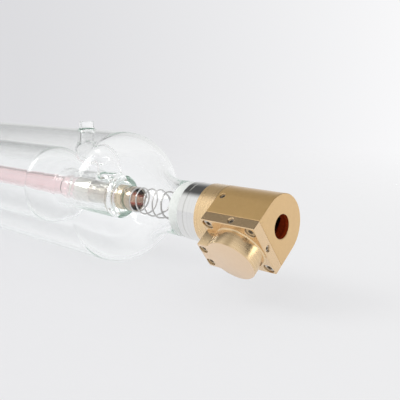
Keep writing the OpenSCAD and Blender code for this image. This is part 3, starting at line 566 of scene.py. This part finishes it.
def elbow_rings(radius, spread_by):
    """Rings of the elbow's skin: foot, bend, level leg and round end."""
    rings = foot_rings(X_ELBOW, radius, spread_by, over_cylinder(COLLAR_R + 0.03), Z_FOOT)
    for i in range(1, 15):
        f = math.radians(90 * i / 14)
        cx, cz = X_ELBOW - BEND + BEND * math.cos(f), Z_FOOT + BEND * math.sin(f)
        rings.append([(cx + radius * math.cos(a) * math.cos(f), radius * math.sin(a),
                       cz + radius * math.cos(a) * math.sin(f)) for a in TURN])
    for i in range(0, 13):
        f = math.radians(90 * i / 12)
        rings.append([(X_OUTLET - radius * math.sin(f), radius * math.cos(f) * math.sin(a),
                       Z_LEG + radius * math.cos(f) * math.cos(a)) for a in TURN])
    return rings


elbow = skin("elbow_glass", elbow_rings(7.5, 1.3) + elbow_rings(6.2, 0)[::-1])
carve(elbow, drill((X_OUTLET, 0, 40), (0, 0, 1), 3.4, 14))
dress(elbow, tap_glass, "clear_glass", "outlet_elbow")


# %% Nozzles
def on_elbow(x, y):
    """Height of the elbow's round end under the outlet nozzle."""
    return Z_LEG + math.sqrt(max(7.53 ** 2 - y * y - min(x, 0) ** 2, 0))


def nozzle(name, x0, surface, z_low, node):
    leg, seat, bore = 4.85, 4.6, 3.4
    rings = foot_rings(x0, leg, 1.1, surface, z_low)
    crown = over_cylinder(ENVELOPE_R)
    rings += [level_ring(x0, leg, 37.0), level_ring(x0, leg, 38.6)]
    for r, rise in ((5.9, 0.0), (5.4, 0.16), (5.0, 0.45), (4.72, 0.85)):
        rings.append([(x0 + r * math.cos(a), r * math.sin(a), crown(0, r * math.sin(a)) + rise) for a in TURN])
    rings += [level_ring(x0, seat, 41.6), level_ring(x0, seat, 44.3)]
    for i in range(1, 9):
        f = math.radians(180 * i / 8)
        rings.append(level_ring(x0, 4.0 + 0.6 * math.cos(f), 44.38 + 0.6 * math.sin(f)))
    low = [(x0 + bore * math.cos(a), bore * math.sin(a), surface(bore * math.cos(a), bore * math.sin(a))) for a in TURN]
    rings.append(low)
    return dress(skin(name, rings, sharp_deg=60), tap_glass, "clear_glass", node)


nozzle("outlet_nozzle_glass", X_OUTLET, on_elbow, 34.0, "outlet_nozzle")
nozzle("inlet_nozzle_glass", X_INLET, over_cylinder(JACKET_R + 0.03), 29.0, "inlet_nozzle")

# %% [markdown]
# ## The gas return coil
#
# Near the rear a thin glass tube winds round the discharge tube and lets gas flow back without a
# straight path for the high voltage. It follows a helix whose ends turn outward and inward. Rings
# square to the path, for the outside and the bore, make one closed wall.

# %% Gas return coil
def rings_along(path, radius, sides):
    """Rings of points square to a path that never runs along X."""
    path = np.array(path, float)
    ahead = np.gradient(path, axis=0)
    ahead /= np.linalg.norm(ahead, axis=1, keepdims=True)
    side = np.cross(ahead, [1.0, 0, 0])
    side /= np.linalg.norm(side, axis=1, keepdims=True)
    up = np.cross(side, ahead)
    angles = np.linspace(0, 2 * math.pi, sides, endpoint=False)
    return [[tuple(p + radius * (math.cos(a) * s + math.sin(a) * u)) for a in angles]
            for p, s, u in zip(path, side, up)]


def coil_path(turns=4, pitch=16.0, coil_r=15.5, bend=5.6, steps=44):
    polar = lambda x, r, deg: (x, r * math.cos(math.radians(deg)), r * math.sin(math.radians(deg)))
    a_in = math.degrees(math.asin(bend / (coil_r + bend)))
    a_out = 360 * turns - math.degrees(math.asin(bend / (coil_r - bend)))
    path = [(X_COIL, JACKET_R + 1.2, 0)]
    centre = np.array(polar(X_COIL, coil_r + bend, a_in))
    path += [tuple(centre + np.array(polar(0, bend, -90 + (a_in - 90) * i / 12))) for i in range(1, 13)]
    path += [polar(X_COIL + pitch * turns * i / (steps * turns), coil_r, a_in + (a_out - a_in) * i / (steps * turns))
             for i in range(1, steps * turns)]
    centre = np.array(polar(X_COIL + pitch * turns, coil_r - bend, a_out))
    path += [tuple(centre + np.array(polar(0, bend, a_out + (360 * turns + 90 - a_out) * i / 12))) for i in range(13)]
    return path + [(X_COIL + pitch * turns, DISCHARGE_R + 0.05, 0)]


path = coil_path()
coil = skin("coil_glass", rings_along(path, 3.5, 20) + rings_along(path, 2.3, 20)[::-1])
dress(coil, clear_glass, "clear_glass", "gas_return_coil")

# %% [markdown]
# ## Electrodes and contact springs
#
# Each electrode is a rolled metal cylinder with a beaded mouth. The discharge has heated it, so bands of
# straw and brown oxide run round the mouth. The bands are a colour ramp along the tube, broken up
# with noise, because real heat tint never ends on a straight line.

# %% Heat-tinted metal
HEAT_TINTS = [(0.0, (0.46, 0.42, 0.36)), (0.10, (0.54, 0.45, 0.34)), (0.22, (0.76, 0.66, 0.50)),
              (0.36, (0.50, 0.44, 0.38)), (0.52, (0.76, 0.73, 0.66)), (1.0, (0.82, 0.81, 0.77))]


def heat_tinted(name, x_mouth, side):
    """Drawn metal with oxide bands inward from its mouth. Side is 1 for a mouth towards +X, else -1."""
    material, tree, shader = new_material(name, metallic=1.0)
    where = object_position(tree)
    x = put(tree, "ShaderNodeSeparateXYZ", [("Vector", where)]).outputs["X"]
    uneven = put(tree, "ShaderNodeTexNoise", [("Vector", where), ("Scale", 110.0), ("Detail", 3.0)]).outputs["Fac"]
    inward = figure(tree, "MULTIPLY", figure(tree, "SUBTRACT", x_mouth * MM, x), side)
    depth = figure(tree, "ADD", inward, figure(tree, "MULTIPLY_ADD", uneven, 0.012, -0.006))
    ramp = put(tree, "ShaderNodeValToRGB", [("Fac", spread(tree, depth, 0.0, 0.050))])
    while len(ramp.color_ramp.elements) < len(HEAT_TINTS):
        ramp.color_ramp.elements.new(0.5)
    for element, (place, colour) in zip(ramp.color_ramp.elements, HEAT_TINTS):
        element.position, element.color = place, (*colour, 1)
    relief = use_group(tree, rings_group, ("Position", where), ("Rings per metre", 3000.0))
    tree.links.new(ramp.outputs["Color"], shader.inputs["Base Color"])
    tree.links.new(figure(tree, "MULTIPLY_ADD", relief.outputs["Band"], 0.06, 0.09), shader.inputs["Roughness"])
    add_relief(tree, shader, relief.outputs["Height"], 0.000003)
    return material


# %% Electrodes
bead = 0.6
can = [(ELECTRODE_BORE, X_ELECTRODE_REAR + 0.2), (ELECTRODE_BORE + 0.2, X_ELECTRODE_REAR),
       (ELECTRODE_R - 0.2, X_ELECTRODE_REAR), (ELECTRODE_R, X_ELECTRODE_REAR + 0.2)]
for x_groove in (X_ELECTRODE - 40.0, X_ELECTRODE - 9.0):
    can += [(ELECTRODE_R, x_groove), (ELECTRODE_R - 0.18, x_groove + 0.3), (ELECTRODE_R - 0.18, x_groove + 0.9),
            (ELECTRODE_R, x_groove + 1.2)]
can += [(ELECTRODE_R, X_ELECTRODE - 1.4), (ELECTRODE_R - 0.05, X_ELECTRODE - 1.2)]
can += arc_points(ELECTRODE_R - bead, X_ELECTRODE - bead, bead, -10, 190, 14) + [(ELECTRODE_BORE, X_ELECTRODE - 1.5)]
dress(turned("cathode_can", can, 96), heat_tinted("Cathode metal", X_ELECTRODE, 1.0), "electrode_metal", "cathode")
dress(turned("anode_can", at_rear(can), 96), heat_tinted("Anode metal", 2 * X_MIDDLE - X_ELECTRODE, -1.0),
      "electrode_metal", "anode")

# %% [markdown]
# A cone of spring wire carries the current from the ferrule to the electrode. Its end turns lie flat, so
# that it can press on both.

# %% Contact springs
steel_wire = metal_material("Spring wire", (0.66, 0.65, 0.64), (0.52, 0.51, 0.50), 0.24, grain=2500.0,
                            edge=0.0001, wear=0.2)
SMALL_TURN, WIDE_TURN = 14.4, 18.6


def spring(name, mirrored, node, wire_r=0.45, turns=9.0, flat_turns=0.7, steps=360):
    x1, x2 = X_ELECTRODE + 0.1 + wire_r, X_SPRING_SEAT - 0.1 - wire_r
    path = []
    for i in range(steps + 1):
        turn = turns * i / steps
        s = min(1, max(0, (turn - flat_turns) / (turns - 2 * flat_turns)))
        r = (SMALL_TURN + (WIDE_TURN - SMALL_TURN) * s) / 2
        x = x1 + (x2 - x1) * s
        way_round = 2 * math.pi * turn
        path.append((2 * X_MIDDLE - x if mirrored else x, r * math.cos(way_round), r * math.sin(way_round)))
    rings = rings_along(path, wire_r, 12)
    rings = [[path[0]] * 12] + rings + [[path[-1]] * 12]
    return dress(skin(name, rings, closed=False), steel_wire, "steel", node)


spring("cathode_spring_wire", False, "cathode_spring")
spring("anode_spring_wire", True, "anode_spring")

# %% [markdown]
# ## Ferrules
#
# A turned steel ferrule closes each end of the glass. Its skirt reaches into the neck, and a pale cement
# fills the thin gap round it, which shows through the glass as a milky band. Polished steel mirrors the
# room, so the black and white bands on it come from the light and aren't painted on.

# %% Ferrules and cement
ferrule_steel = metal_material("Turned steel", (0.86, 0.86, 0.845), (0.82, 0.82, 0.805), 0.08, rings=7000.0,
                               depth=0.0000006, marks=0.03)
skirt_r, skirt_in = NECK_R - ENVELOPE_WALL - 0.1, NECK_R - ENVELOPE_WALL - 0.1 - 0.6
ferrule = [(skirt_in, X_SKIRT), (skirt_r, X_SKIRT), (skirt_r, X_NECK), (15.8, X_NECK), (16.0, X_NECK + 0.2),
           (16.0, X_NECK + 4.0), (15.6, X_NECK + 4.15), (15.6, X_NECK + 4.65), (16.0, X_NECK + 4.8),
           (16.0, X_FERRULE - 0.2), (15.8, X_FERRULE), (7.5, X_FERRULE), (7.5, X_SPRING_SEAT),
           (skirt_in, X_SPRING_SEAT)]
dress(turned("front_ferrule_ring", ferrule, 128, sharp_deg=25), ferrule_steel, "ferrule_steel", "front_ferrule")
dress(turned("rear_ferrule_ring", at_rear(ferrule), 128, sharp_deg=25), ferrule_steel, "ferrule_steel", "rear_ferrule")

cement, tree, shader = new_material("Pale cement", roughness=0.75)
grit = use_group(tree, grain_group, ("Position", object_position(tree)), ("Grains per metre", 1400.0))
chalk = blend_colours(tree, spread(tree, grit.outputs["Tone"], 0.35, 0.65), (0.78, 0.80, 0.76, 1),
                      (0.93, 0.94, 0.91, 1))
tree.links.new(chalk, shader.inputs["Base Color"])
add_relief(tree, shader, grit.outputs["Height"], 0.00005, 0.6)
band = [(skirt_r + 0.02, X_SKIRT), (skirt_r + 0.16, X_SKIRT), (skirt_r + 0.16, X_NECK - 0.02),
        (skirt_r + 0.02, X_NECK - 0.02)]
lining = [(skirt_r - 0.66, X_SKIRT - 0.2), (skirt_r - 0.61, X_SKIRT - 0.2), (skirt_r - 0.61, X_SPRING_SEAT - 1.0),
          (skirt_r - 0.66, X_SPRING_SEAT - 1.0)]
for label, profile in (("front_cement", band), ("rear_cement", at_rear(band)), ("front_cement_lining", lining),
                       ("rear_cement_lining", at_rear(lining))):
    dress(turned(label, profile, 96), cement, "ferrule_steel")

# %% [markdown]
# ## The machined head
#
# The head is modelled in its own frame, with the capped side up, and then turned about the beam into
# place. Every edge of a machined part has a small bevel that catches the light, so each solid is a stack
# of outlines, the outer ones drawn in a little. Holes are cut afterwards with chamfered drills.

# %% Outlines and prisms
ROLL = Matrix.Rotation(math.radians(127), 4, "X")
X_PLATE, X_POINTER, HEAD_R, CAP_R = -16.25, -15.0, 16.5, 13.3
SEAT, PLATE_MIDDLE, PLATE_TOP, CAP_TOP = 11.5, 14.3, 17.1, 26.4


def on_circle(radius, degrees, centre_x=0.0, centre_y=0.0):
    """Points of a circle at the given angles."""
    return [(centre_x + radius * math.cos(math.radians(a)), centre_y + radius * math.sin(math.radians(a)))
            for a in degrees]


def drawn_in(points, distance):
    """A counterclockwise outline with every side moved inward by the distance."""
    p = np.array(points, float)
    into = lambda v: np.stack([-v[:, 1], v[:, 0]], 1) / np.linalg.norm(v, axis=1, keepdims=True)
    one, two = into(p - np.roll(p, 1, 0)), into(np.roll(p, -1, 0) - p)
    return p + distance * (one + two) / (1 + (one * two).sum(1, keepdims=True))


def prism(name, outline, levels, matrix, sharp_deg=30):
    """A solid between outlines stacked along Z: levels are (height, how far the outline is drawn in)."""
    bm = bmesh.new()
    rows = []
    for height, distance in levels:
        rows.append([bm.verts.new((x * MM, y * MM, height * MM)) for x, y in drawn_in(outline, distance)])
    for one, two in zip(rows, rows[1:]):
        for i in range(len(one)):
            k = (i + 1) % len(one)
            bm.faces.new((one[i], one[k], two[k], two[i]))
    bm.faces.new(rows[0][::-1])
    bm.faces.new(rows[-1])
    return to_object(name, bm, matrix, sharp_deg)


def rolled(start, direction):
    """A point and a direction of the head's frame, turned into place."""
    return ROLL @ Vector(start), ROLL.to_3x3() @ Vector(direction)


def head_drill(start, direction, radius, depth, chamfer=0.0, sides=48):
    return drill(*rolled(start, direction), radius, depth, chamfer, sides)


# %% Block
outline = [(HEAD_R, SEAT - 0.25), (HEAD_R - 0.25, SEAT), (0.25 - HEAD_R, SEAT), (-HEAD_R, SEAT - 0.25)]
outline += on_circle(HEAD_R, np.linspace(180, 360, 73))
upright = Matrix(((0, 0, 1, 0), (1, 0, 0, 0), (0, 1, 0, 0), (0, 0, 0, 1)))
block = prism("block", outline, [(X_BLOCK, 0.24), (X_BLOCK + 0.24, 0), (-0.28, 0), (0, 0.28)], ROLL @ upright)
CORNERS = [(X_PLATE + sx * 12.95, sy * 13.2) for sx in (-1, 1) for sy in (-1, 1)]
cutters = []
for a in (90, 180, 270):
    y, z = -math.sin(math.radians(a)), math.cos(math.radians(a))
    cutters.append(head_drill((-29.5, HEAD_R * y, HEAD_R * z), (0, y, z), 1.55, 6.5, 0.3, 32))
cutters += [head_drill((x, y, SEAT + 1), (0, 0, 1), 1.55, 6.6, 0, 32) for x, y in CORNERS]
cutters += [head_drill((X_BLOCK - 0.5, 0, 0), (-1, 0, 0), 10.6, 6.6, 0, 96),
            head_drill((X_POINTER, 0, SEAT + 1), (0, 0, 1), 10.1, 22, 0, 96),
            head_drill((X_BLOCK - 0.5, 0, 0), (-1, 0, 0), 6.6, 17, 0, 96),
            head_drill((0, 0, 0), (1, 0, 0), 6.2, 20, 0.25, 96)]
carve(block, *cutters, sharp_deg=30)
dress(block, gold_blasted, "brass", "head_block")

# %% [markdown]
# The aperture looks dark red-brown. Light that enters a gold-coloured bore is reflected many times
# before it comes out again, and each reflection deepens the colour. The faces of the bore get a material
# of their own with a polished surface and a deep red-brown colour, which is painted shade for that.

# %% Bore of the aperture
bore_painted_shade, tree, shader = new_material("Bore, painted shade", metallic=0.0)
relief = use_group(tree, rings_group, ("Position", object_position(tree)), ("Rings per metre", 2600.0))
# The bore's deep red-brown is painted shade for light reflected many times inside it.
painted_bore_shade = blend_colours(tree, spread(tree, relief.outputs["Band"], 0.35, 0.65), (0.16, 0.010, 0.002, 1),
                         (0.34, 0.040, 0.007, 1))
tree.links.new(painted_bore_shade, shader.inputs["Base Color"])
tree.links.new(figure(tree, "MULTIPLY_ADD", relief.outputs["Band"], 0.15, 0.14), shader.inputs["Roughness"])
add_relief(tree, shader, relief.outputs["Height"], 0.00001)
block.data.materials.append(bore_painted_shade)
inside = 0
for face in block.data.polygons:
    x, y, z = face.center
    if math.hypot(y, z) < 6.5 * MM and x < -0.3 * MM:
        face.material_index = 1
        inside += 1
print("faces of the bore:", inside)

# %% Plate
outline = [(X_BLOCK, -HEAD_R + 0.3), (X_BLOCK + 0.3, -HEAD_R), (-0.3, -HEAD_R), (0, -HEAD_R + 0.3),
           (0, HEAD_R - 0.3), (-0.3, HEAD_R), (X_BLOCK + 0.3, HEAD_R), (X_BLOCK, HEAD_R - 0.3)]
plate = prism("plate", outline, [(SEAT, 0.15), (SEAT + 0.15, 0), (PLATE_TOP - 0.35, 0), (PLATE_TOP, 0.35)], ROLL)
TAB_SCREWS = [(-29.8, -4.8), (-29.8, 4.8)]
cutters = [head_drill((X_POINTER, 0, PLATE_TOP + 1), (0, 0, 1), 5.3, 9, 0, 64)]
cutters += [head_drill((x, y, PLATE_TOP), (0, 0, 1), 2.95, 3.8, 0.15, 48) for x, y in CORNERS]
cutters += [head_drill((x, y, PLATE_TOP + 1), (0, 0, 1), 1.6, 9, 0, 32) for x, y in CORNERS]
cutters += [head_drill((x, y, PLATE_TOP + 1), (0, 0, 1), 1.3, 5.1, 0, 32) for x, y in TAB_SCREWS]
SIDES = [((0, 0, PLATE_MIDDLE), (1, 0, 0), 10.6), ((X_POINTER, HEAD_R, PLATE_MIDDLE), (0, 1, 0), 12.1),
         ((X_BLOCK, 0, PLATE_MIDDLE), (-1, 0, 0), 13.1), ((X_POINTER, -HEAD_R, PLATE_MIDDLE), (0, -1, 0), 12.1)]
cutters += [head_drill(start, way, 1.55, depth, 0.35, 32) for start, way, depth in SIDES]
carve(plate, *cutters, sharp_deg=30)
dress(plate, gold_milled, "brass", "pointer_plate")

# %% [markdown]
# The cap is turned on a lathe, so rings run round its side, and they need the finish to be turned to the
# cap's own axis. Its flat face was blasted afterwards and looks paler and duller than the side.

# %% Cap
half, centre_y, hollow_r = 8.5, 11.5, 3
centre_x = math.sqrt((CAP_R + hollow_r) ** 2 - centre_y * centre_y)
meet = math.degrees(math.atan2(centre_y, -centre_x))
outline = on_circle(CAP_R, np.linspace(-meet, meet, 97))
outline += on_circle(hollow_r, np.linspace(meet - 180, -90, 9)[1:], -centre_x, centre_y)
x_tab = X_BLOCK - X_POINTER
outline += [(x_tab + 0.45, half), (x_tab, half - 0.45), (x_tab, 0.45 - half), (x_tab + 0.45, -half)]
outline += on_circle(hollow_r, np.linspace(90, 180 - meet, 9)[:-1], -centre_x, -centre_y)
outline = [(x + X_POINTER, y) for x, y in outline]
cap_levels = [(PLATE_TOP, 0.1), (PLATE_TOP + 0.1, 0), (CAP_TOP - 0.5, 0), (CAP_TOP - 0.15, 0.15), (CAP_TOP, 0.5)]
cap = prism("cap", outline, cap_levels, ROLL)
cutters = [head_drill((x, y, CAP_TOP + 1), (0, 0, 1), 2.45, 4.3, 0, 48) for x, y in TAB_SCREWS]
cutters += [head_drill((x, y, CAP_TOP + 1), (0, 0, 1), 1.35, 11, 0, 32) for x, y in TAB_SCREWS]
cutters.append(head_drill((X_POINTER, 0, PLATE_TOP - 1), (0, 0, -1), 8.8, 8.5, 0, 96))
carve(cap, *cutters, sharp_deg=30)
cap_way = ROLL.to_3x3() @ Vector((0, 0, 1))
to_x = cap_way.rotation_difference(Vector((1, 0, 0))).to_matrix()
gold_cap = metal_material("Gold, turned cap", (0.87, 0.65, 0.38), (0.77, 0.55, 0.31), 0.23, rings=4200.0,
                          depth=0.000006, metallic=0.96, coat=0.4,
                          turn=(-(to_x @ Vector((X_POINTER * MM, 0, 0))), to_x.to_euler()))
gold_cap_face = metal_material("Gold, blasted cap face", (0.90, 0.68, 0.46), (0.85, 0.63, 0.42), 0.36,
                               grain=4200.0, depth=0.000005, metallic=0.8, coat=0.6)
dress(cap, gold_cap, "brass", "pointer_cap")
cap.data.materials.append(gold_cap_face)
flat_faces = [face for face in cap.data.polygons if face.normal.dot(cap_way) > 0.8]
for face in flat_faces:
    face.material_index = 1
print("flat faces of the cap:", len(flat_faces))

# %% Fillet at the cap's foot
steps = [math.radians(a) for a in np.linspace(180, 270, 8)]
foot = [(CAP_R - 0.6, PLATE_TOP + 0.02), (CAP_R - 0.6, PLATE_TOP + 0.8)]
foot += [(CAP_R + 0.8 + 0.78 * math.cos(a), PLATE_TOP + 0.8 + 0.78 * math.sin(a)) for a in steps]
upward = Matrix(((0, 1, 0, X_POINTER * MM), (0, 0, 1, 0), (1, 0, 0, 0), (0, 0, 0, 1)))
dress(turned("cap_foot", foot, 128, ROLL @ upward), gold_cap, "brass", "pointer_cap")

# %% [markdown]
# The retaining ring behind the block is turned from the same bar. Lathe marks run round it, so its
# highlight spreads along the beam and stays narrow round it.

# %% Mirror ring
ring = [(9.4, -26.5), (9.4, -36.0), (8.1, -36.0), (8.1, -40.0), (6.0, -40.0), (6.0, X_FERRULE),
        (HEAD_R - 0.2, X_FERRULE), (HEAD_R, X_FERRULE + 0.2), (HEAD_R, X_BLOCK - 0.35), (HEAD_R - 0.35, X_BLOCK),
        (10.5, X_BLOCK), (10.5, -26.7), (10.3, -26.5)]
dress(turned("retaining_ring", ring, 128, sharp_deg=25), gold_turned, "brass", "mirror_ring")

# %% [markdown]
# ## Small parts kept from the CAD
#
# Screws, mirrors, seals and the parts inside the head are right as they are, and they take a finish
# each. Only the screw heads can be seen from close by.

# %% Finishes of the small parts
screw_steel = metal_material("Screw steel", (0.72, 0.68, 0.61), (0.55, 0.51, 0.45), 0.28, grain=3000.0,
                             edge=0.0002, wear=0.4)
support_steel = metal_material("Support steel", (0.52, 0.51, 0.49), (0.38, 0.37, 0.36), 0.28, grain=1800.0,
                               edge=0.0002)
carrier_metal = metal_material("Dark anodised aluminium", (0.16, 0.06, 0.04), (0.09, 0.035, 0.025), 0.35, grain=2600.0)
module_metal = metal_material("Plain aluminium", (0.75, 0.75, 0.74), (0.62, 0.62, 0.61), 0.28, rings=3000.0)
mirror_gold = metal_material("Gold mirror", (0.95, 0.72, 0.36), (0.90, 0.66, 0.32), 0.04, grain=500.0,
                             depth=0.0000005, marks=0.02)

rubber, tree, shader = new_material("Black rubber", roughness=0.6)
grit = use_group(tree, grain_group, ("Position", object_position(tree)), ("Grains per metre", 1500.0))
soot = blend_colours(tree, grit.outputs["Tone"], (0.010, 0.010, 0.010, 1), (0.030, 0.029, 0.028, 1))
tree.links.new(soot, shader.inputs["Base Color"])
add_relief(tree, shader, grit.outputs["Height"], 0.00003, 0.4)

amber, tree, shader = new_material("Amber mirror", roughness=0.05, ior=2.4, transmission_weight=0.5)
uneven = put(tree, "ShaderNodeTexNoise", [("Vector", object_position(tree)), ("Scale", 260.0), ("Detail", 2.0)])
honey = blend_colours(tree, uneven.outputs["Fac"], (0.55, 0.15, 0.03, 1), (0.70, 0.24, 0.06, 1))
tree.links.new(honey, shader.inputs["Base Color"])

# %% Finishes put on
dress_solids(screw_steel, "ring_set_screws", "plate_screws", "pointer_set_screws", "cap_screws", "terminal_screw")
dress_solids(support_steel, "spring_supports")
dress_solids(amber, "output_mirror", "combiner_mirror")
dress_solids(rubber, "output_seal", "rear_seal")
dress_solids(gold_turned, "output_retainer", "rear_mount", "rear_cover")
dress_solids(carrier_metal, "combiner_carrier")
dress_solids(module_metal, "pointer_module")
dress_solids(lens_glass, "pointer_lens")
dress_solids(mirror_gold, "rear_mirror")

# %% [markdown]
# ## Floor and surroundings
#
# The tube lies on a pale floor. Its colour is painted a little darker towards the left, which is painted
# shade. Far from the tube the floor fades out, so that the pale surroundings and the floor join without a
# line, and only the shadow and the reflection near the tube are left of it. Three quarters of the floor's
# brightness is its own pale glow, so that the shadow on it stays light, and seen through the glass it glows a little
# more.

# %% Floor
bm = bmesh.new()
rows = []
for radius in (0.0, 0.4, 0.8, 1.4, 2.2):
    turn = np.linspace(0, 2 * math.pi, 97)[:-1] if radius else [0.0]
    rows.append([bm.verts.new((radius * math.cos(a), radius * math.sin(a), 0)) for a in turn])
for one, two in zip(rows, rows[1:]):
    for i in range(96):
        k = (i + 1) % 96
        bm.faces.new((one[0], two[i], two[k]) if len(one) == 1 else (one[i], two[i], two[k], one[k]))
FLOOR_LEFT, FLOOR_RIGHT = (0.77, 0.77, 0.79, 1), (0.89, 0.89, 0.895, 1)
FLOOR_Z = -ENVELOPE_R * MM
floor = to_object("floor", bm, Matrix.Translation((-0.1, 0, FLOOR_Z)), 30)
paper, tree, shader = new_material("Pale floor", roughness=0.7, specular_ior_level=0.15)
place = put(tree, "ShaderNodeNewGeometry").outputs["Position"]
split = put(tree, "ShaderNodeSeparateXYZ", [("Vector", place)])
fibres = use_group(tree, grain_group, ("Position", place), ("Grains per metre", 700.0))
sideways = figure(tree, "ADD", figure(tree, "MULTIPLY", split.outputs["X"], 0.746),
                  figure(tree, "MULTIPLY", split.outputs["Y"], 0.666))
# The floor's colour is painted darker towards the left: painted shade.
pale = blend_colours(tree, spread(tree, sideways, -0.30, 0.15), FLOOR_LEFT, FLOOR_RIGHT)
mottle = figure(tree, "MULTIPLY_ADD", fibres.outputs["Tone"], 0.02, 0.99)
sheet = put(tree, "ShaderNodeMix", [("Factor", 1.0), (6, pale), (7, mottle)], data_type="RGBA", blend_type="MULTIPLY")
tree.links.new(sheet.outputs[2], shader.inputs["Base Color"])
add_relief(tree, shader, fibres.outputs["Height"], 0.0001, 0.3)
beside = put(tree, "ShaderNodeClamp", [("Value", split.outputs["X"]), ("Min", X_REAR * MM), ("Max", 0.0)]).outputs[0]
axis_point = put(tree, "ShaderNodeCombineXYZ", [("X", beside), ("Z", FLOOR_Z)]).outputs[0]
away = put(tree, "ShaderNodeVectorMath", [(0, place), (1, axis_point)], operation="DISTANCE").outputs["Value"]
clear_air = put(tree, "ShaderNodeBsdfTransparent").outputs[0]
ray = put(tree, "ShaderNodeLightPath")
strength = figure(tree, "MULTIPLY_ADD", ray.outputs["Is Transmission Ray"], 0.16, 1.0)
glow = put(tree, "ShaderNodeEmission", [("Color", sheet.outputs[2]), ("Strength", strength)]).outputs[0]
seen = figure(tree, "MULTIPLY", figure(tree, "SUBTRACT", 1.0, ray.outputs["Is Diffuse Ray"]), 0.76)
lit = mix_shaders(tree, seen, shader.outputs[0], glow)
fade = mix_shaders(tree, spread(tree, away, 0.10, 0.75, smooth=True), lit, clear_air)
tree.links.new(fade, tree.nodes["Material Output"].inputs["Surface"])
floor.data.materials.append(paper)

# %% [markdown]
# Polished metal shows whatever stands round it. Every round piece here lies along X, so what it mirrors
# depends on one angle, the one round that axis: from the far horizon (0) over the top (a half) to the near
# horizon (1). Three plain levels are the room: a pale wall behind that fades into a dark ceiling over the
# first third, and a pale screen in front that fills the last third. The ferrules take their dark and
# light stripes from it. A bright window stands ahead of the tube on the far side, and a grey patch dulls
# the near side behind the head. What the camera sees straight on is a plain pale backdrop that darkens a
# little to the left. A ray that comes through the glass sees almost only a pale tone. If it was mirrored
# once on its way, it sees more of the room.

# %% Surroundings
world = bpy.data.worlds.new("studio")
bpy.context.scene.world = world
world.use_nodes = True
tree = world.node_tree
way = put(tree, "ShaderNodeSeparateXYZ", [("Vector", put(tree, "ShaderNodeTexCoord").outputs["Generated"])])
way_x = way.outputs["X"]
backdrop = blend_colours(tree, spread(tree, way_x, -0.855, -0.388), (0.72, 0.72, 0.74, 1), (0.94, 0.94, 0.95, 1))
angle = figure(tree, "DIVIDE", figure(tree, "ARCTAN2", way.outputs["Z"], way.outputs["Y"]), math.pi)
WALL, CEILING, SCREEN = 0.8, 0.1, 0.9
behind = spread(tree, angle, 0.0, 1 / 3, WALL, CEILING, smooth=True)
room = blend_colours(tree, spread(tree, angle, 0.5, 2 / 3, smooth=True), behind, (SCREEN, SCREEN, SCREEN, 1))
low = figure(tree, "LESS_THAN", way.outputs["Z"], 0.05)
window = figure(tree, "MULTIPLY", spread(tree, way_x, 0.68, 0.90, smooth=True),
                spread(tree, angle, 0.34, 0.22, smooth=True))
room_light = blend_colours(tree, window, room, (2.6, 2.6, 2.4, 1))
beside = figure(tree, "MULTIPLY", spread(tree, way_x, 0.12, -0.15, smooth=True),
                spread(tree, way_x, -0.50, -0.30, smooth=True))
patch = figure(tree, "MULTIPLY", beside, spread(tree, angle, 0.48, 0.60, smooth=True))
room_light = blend_colours(tree, patch, room_light, (0.44, 0.43, 0.40, 1))
mirrored = blend_colours(tree, low, room_light, backdrop)
ray = put(tree, "ShaderNodeLightPath")
bounced = figure(tree, "MAXIMUM", ray.outputs["Is Glossy Ray"], ray.outputs["Is Transmission Ray"])
once = figure(tree, "COMPARE", ray.outputs["Glossy Depth"], 1.0, 0.5)
along = spread(tree, way_x, -0.70, -0.76, 0.2, 0.95)
pale = figure(tree, "SUBTRACT", 0.95, figure(tree, "MULTIPLY", once, along))
through = figure(tree, "MULTIPLY", ray.outputs["Is Transmission Ray"], pale)
seen_through = blend_colours(tree, through, mirrored, (0.96, 0.96, 0.965, 1))
soft = blend_colours(tree, bounced, (0.72, 0.725, 0.74, 1), seen_through)
light = blend_colours(tree, ray.outputs["Is Camera Ray"], soft, backdrop)
tree.links.new(light, tree.nodes["Background"].inputs["Color"])

# %% [markdown]
# One softbox hangs above the near side, 0.6 m back along the tube and aimed at the head. Its size decides
# how soft the shadow's edge is. Metal doesn't mirror it, because the room above already gives the metal
# its lights. Many bounces are allowed, because each nested wall of glass uses up several.

# %% Softbox
def softbox(name, place, aim, size, watts):
    lamp = bpy.data.lights.new(name, "AREA")
    lamp.shape, lamp.size, lamp.energy, lamp.color = "SQUARE", size, watts, (1.0, 0.99, 0.97)
    stand = bpy.data.objects.new(name, lamp)
    stand.location = place
    stand.rotation_euler = (Vector(aim) - Vector(place)).to_track_quat("-Z", "Y").to_euler()
    stand.visible_camera = stand.visible_glossy = False
    bpy.context.scene.collection.objects.link(stand)


softbox("key softbox", (-0.60, -0.50, 0.66), (-0.03, 0.0, 0.0), 0.46, 4.6)
scene = bpy.context.scene
scene.view_settings.view_transform = "Standard"
BOUNCES = 64
scene.cycles.max_bounces = scene.cycles.transmission_bounces = scene.cycles.glossy_bounces = BOUNCES
scene.cycles.transparent_max_bounces = BOUNCES
scene.cycles.caustics_reflective = scene.cycles.caustics_refractive = False
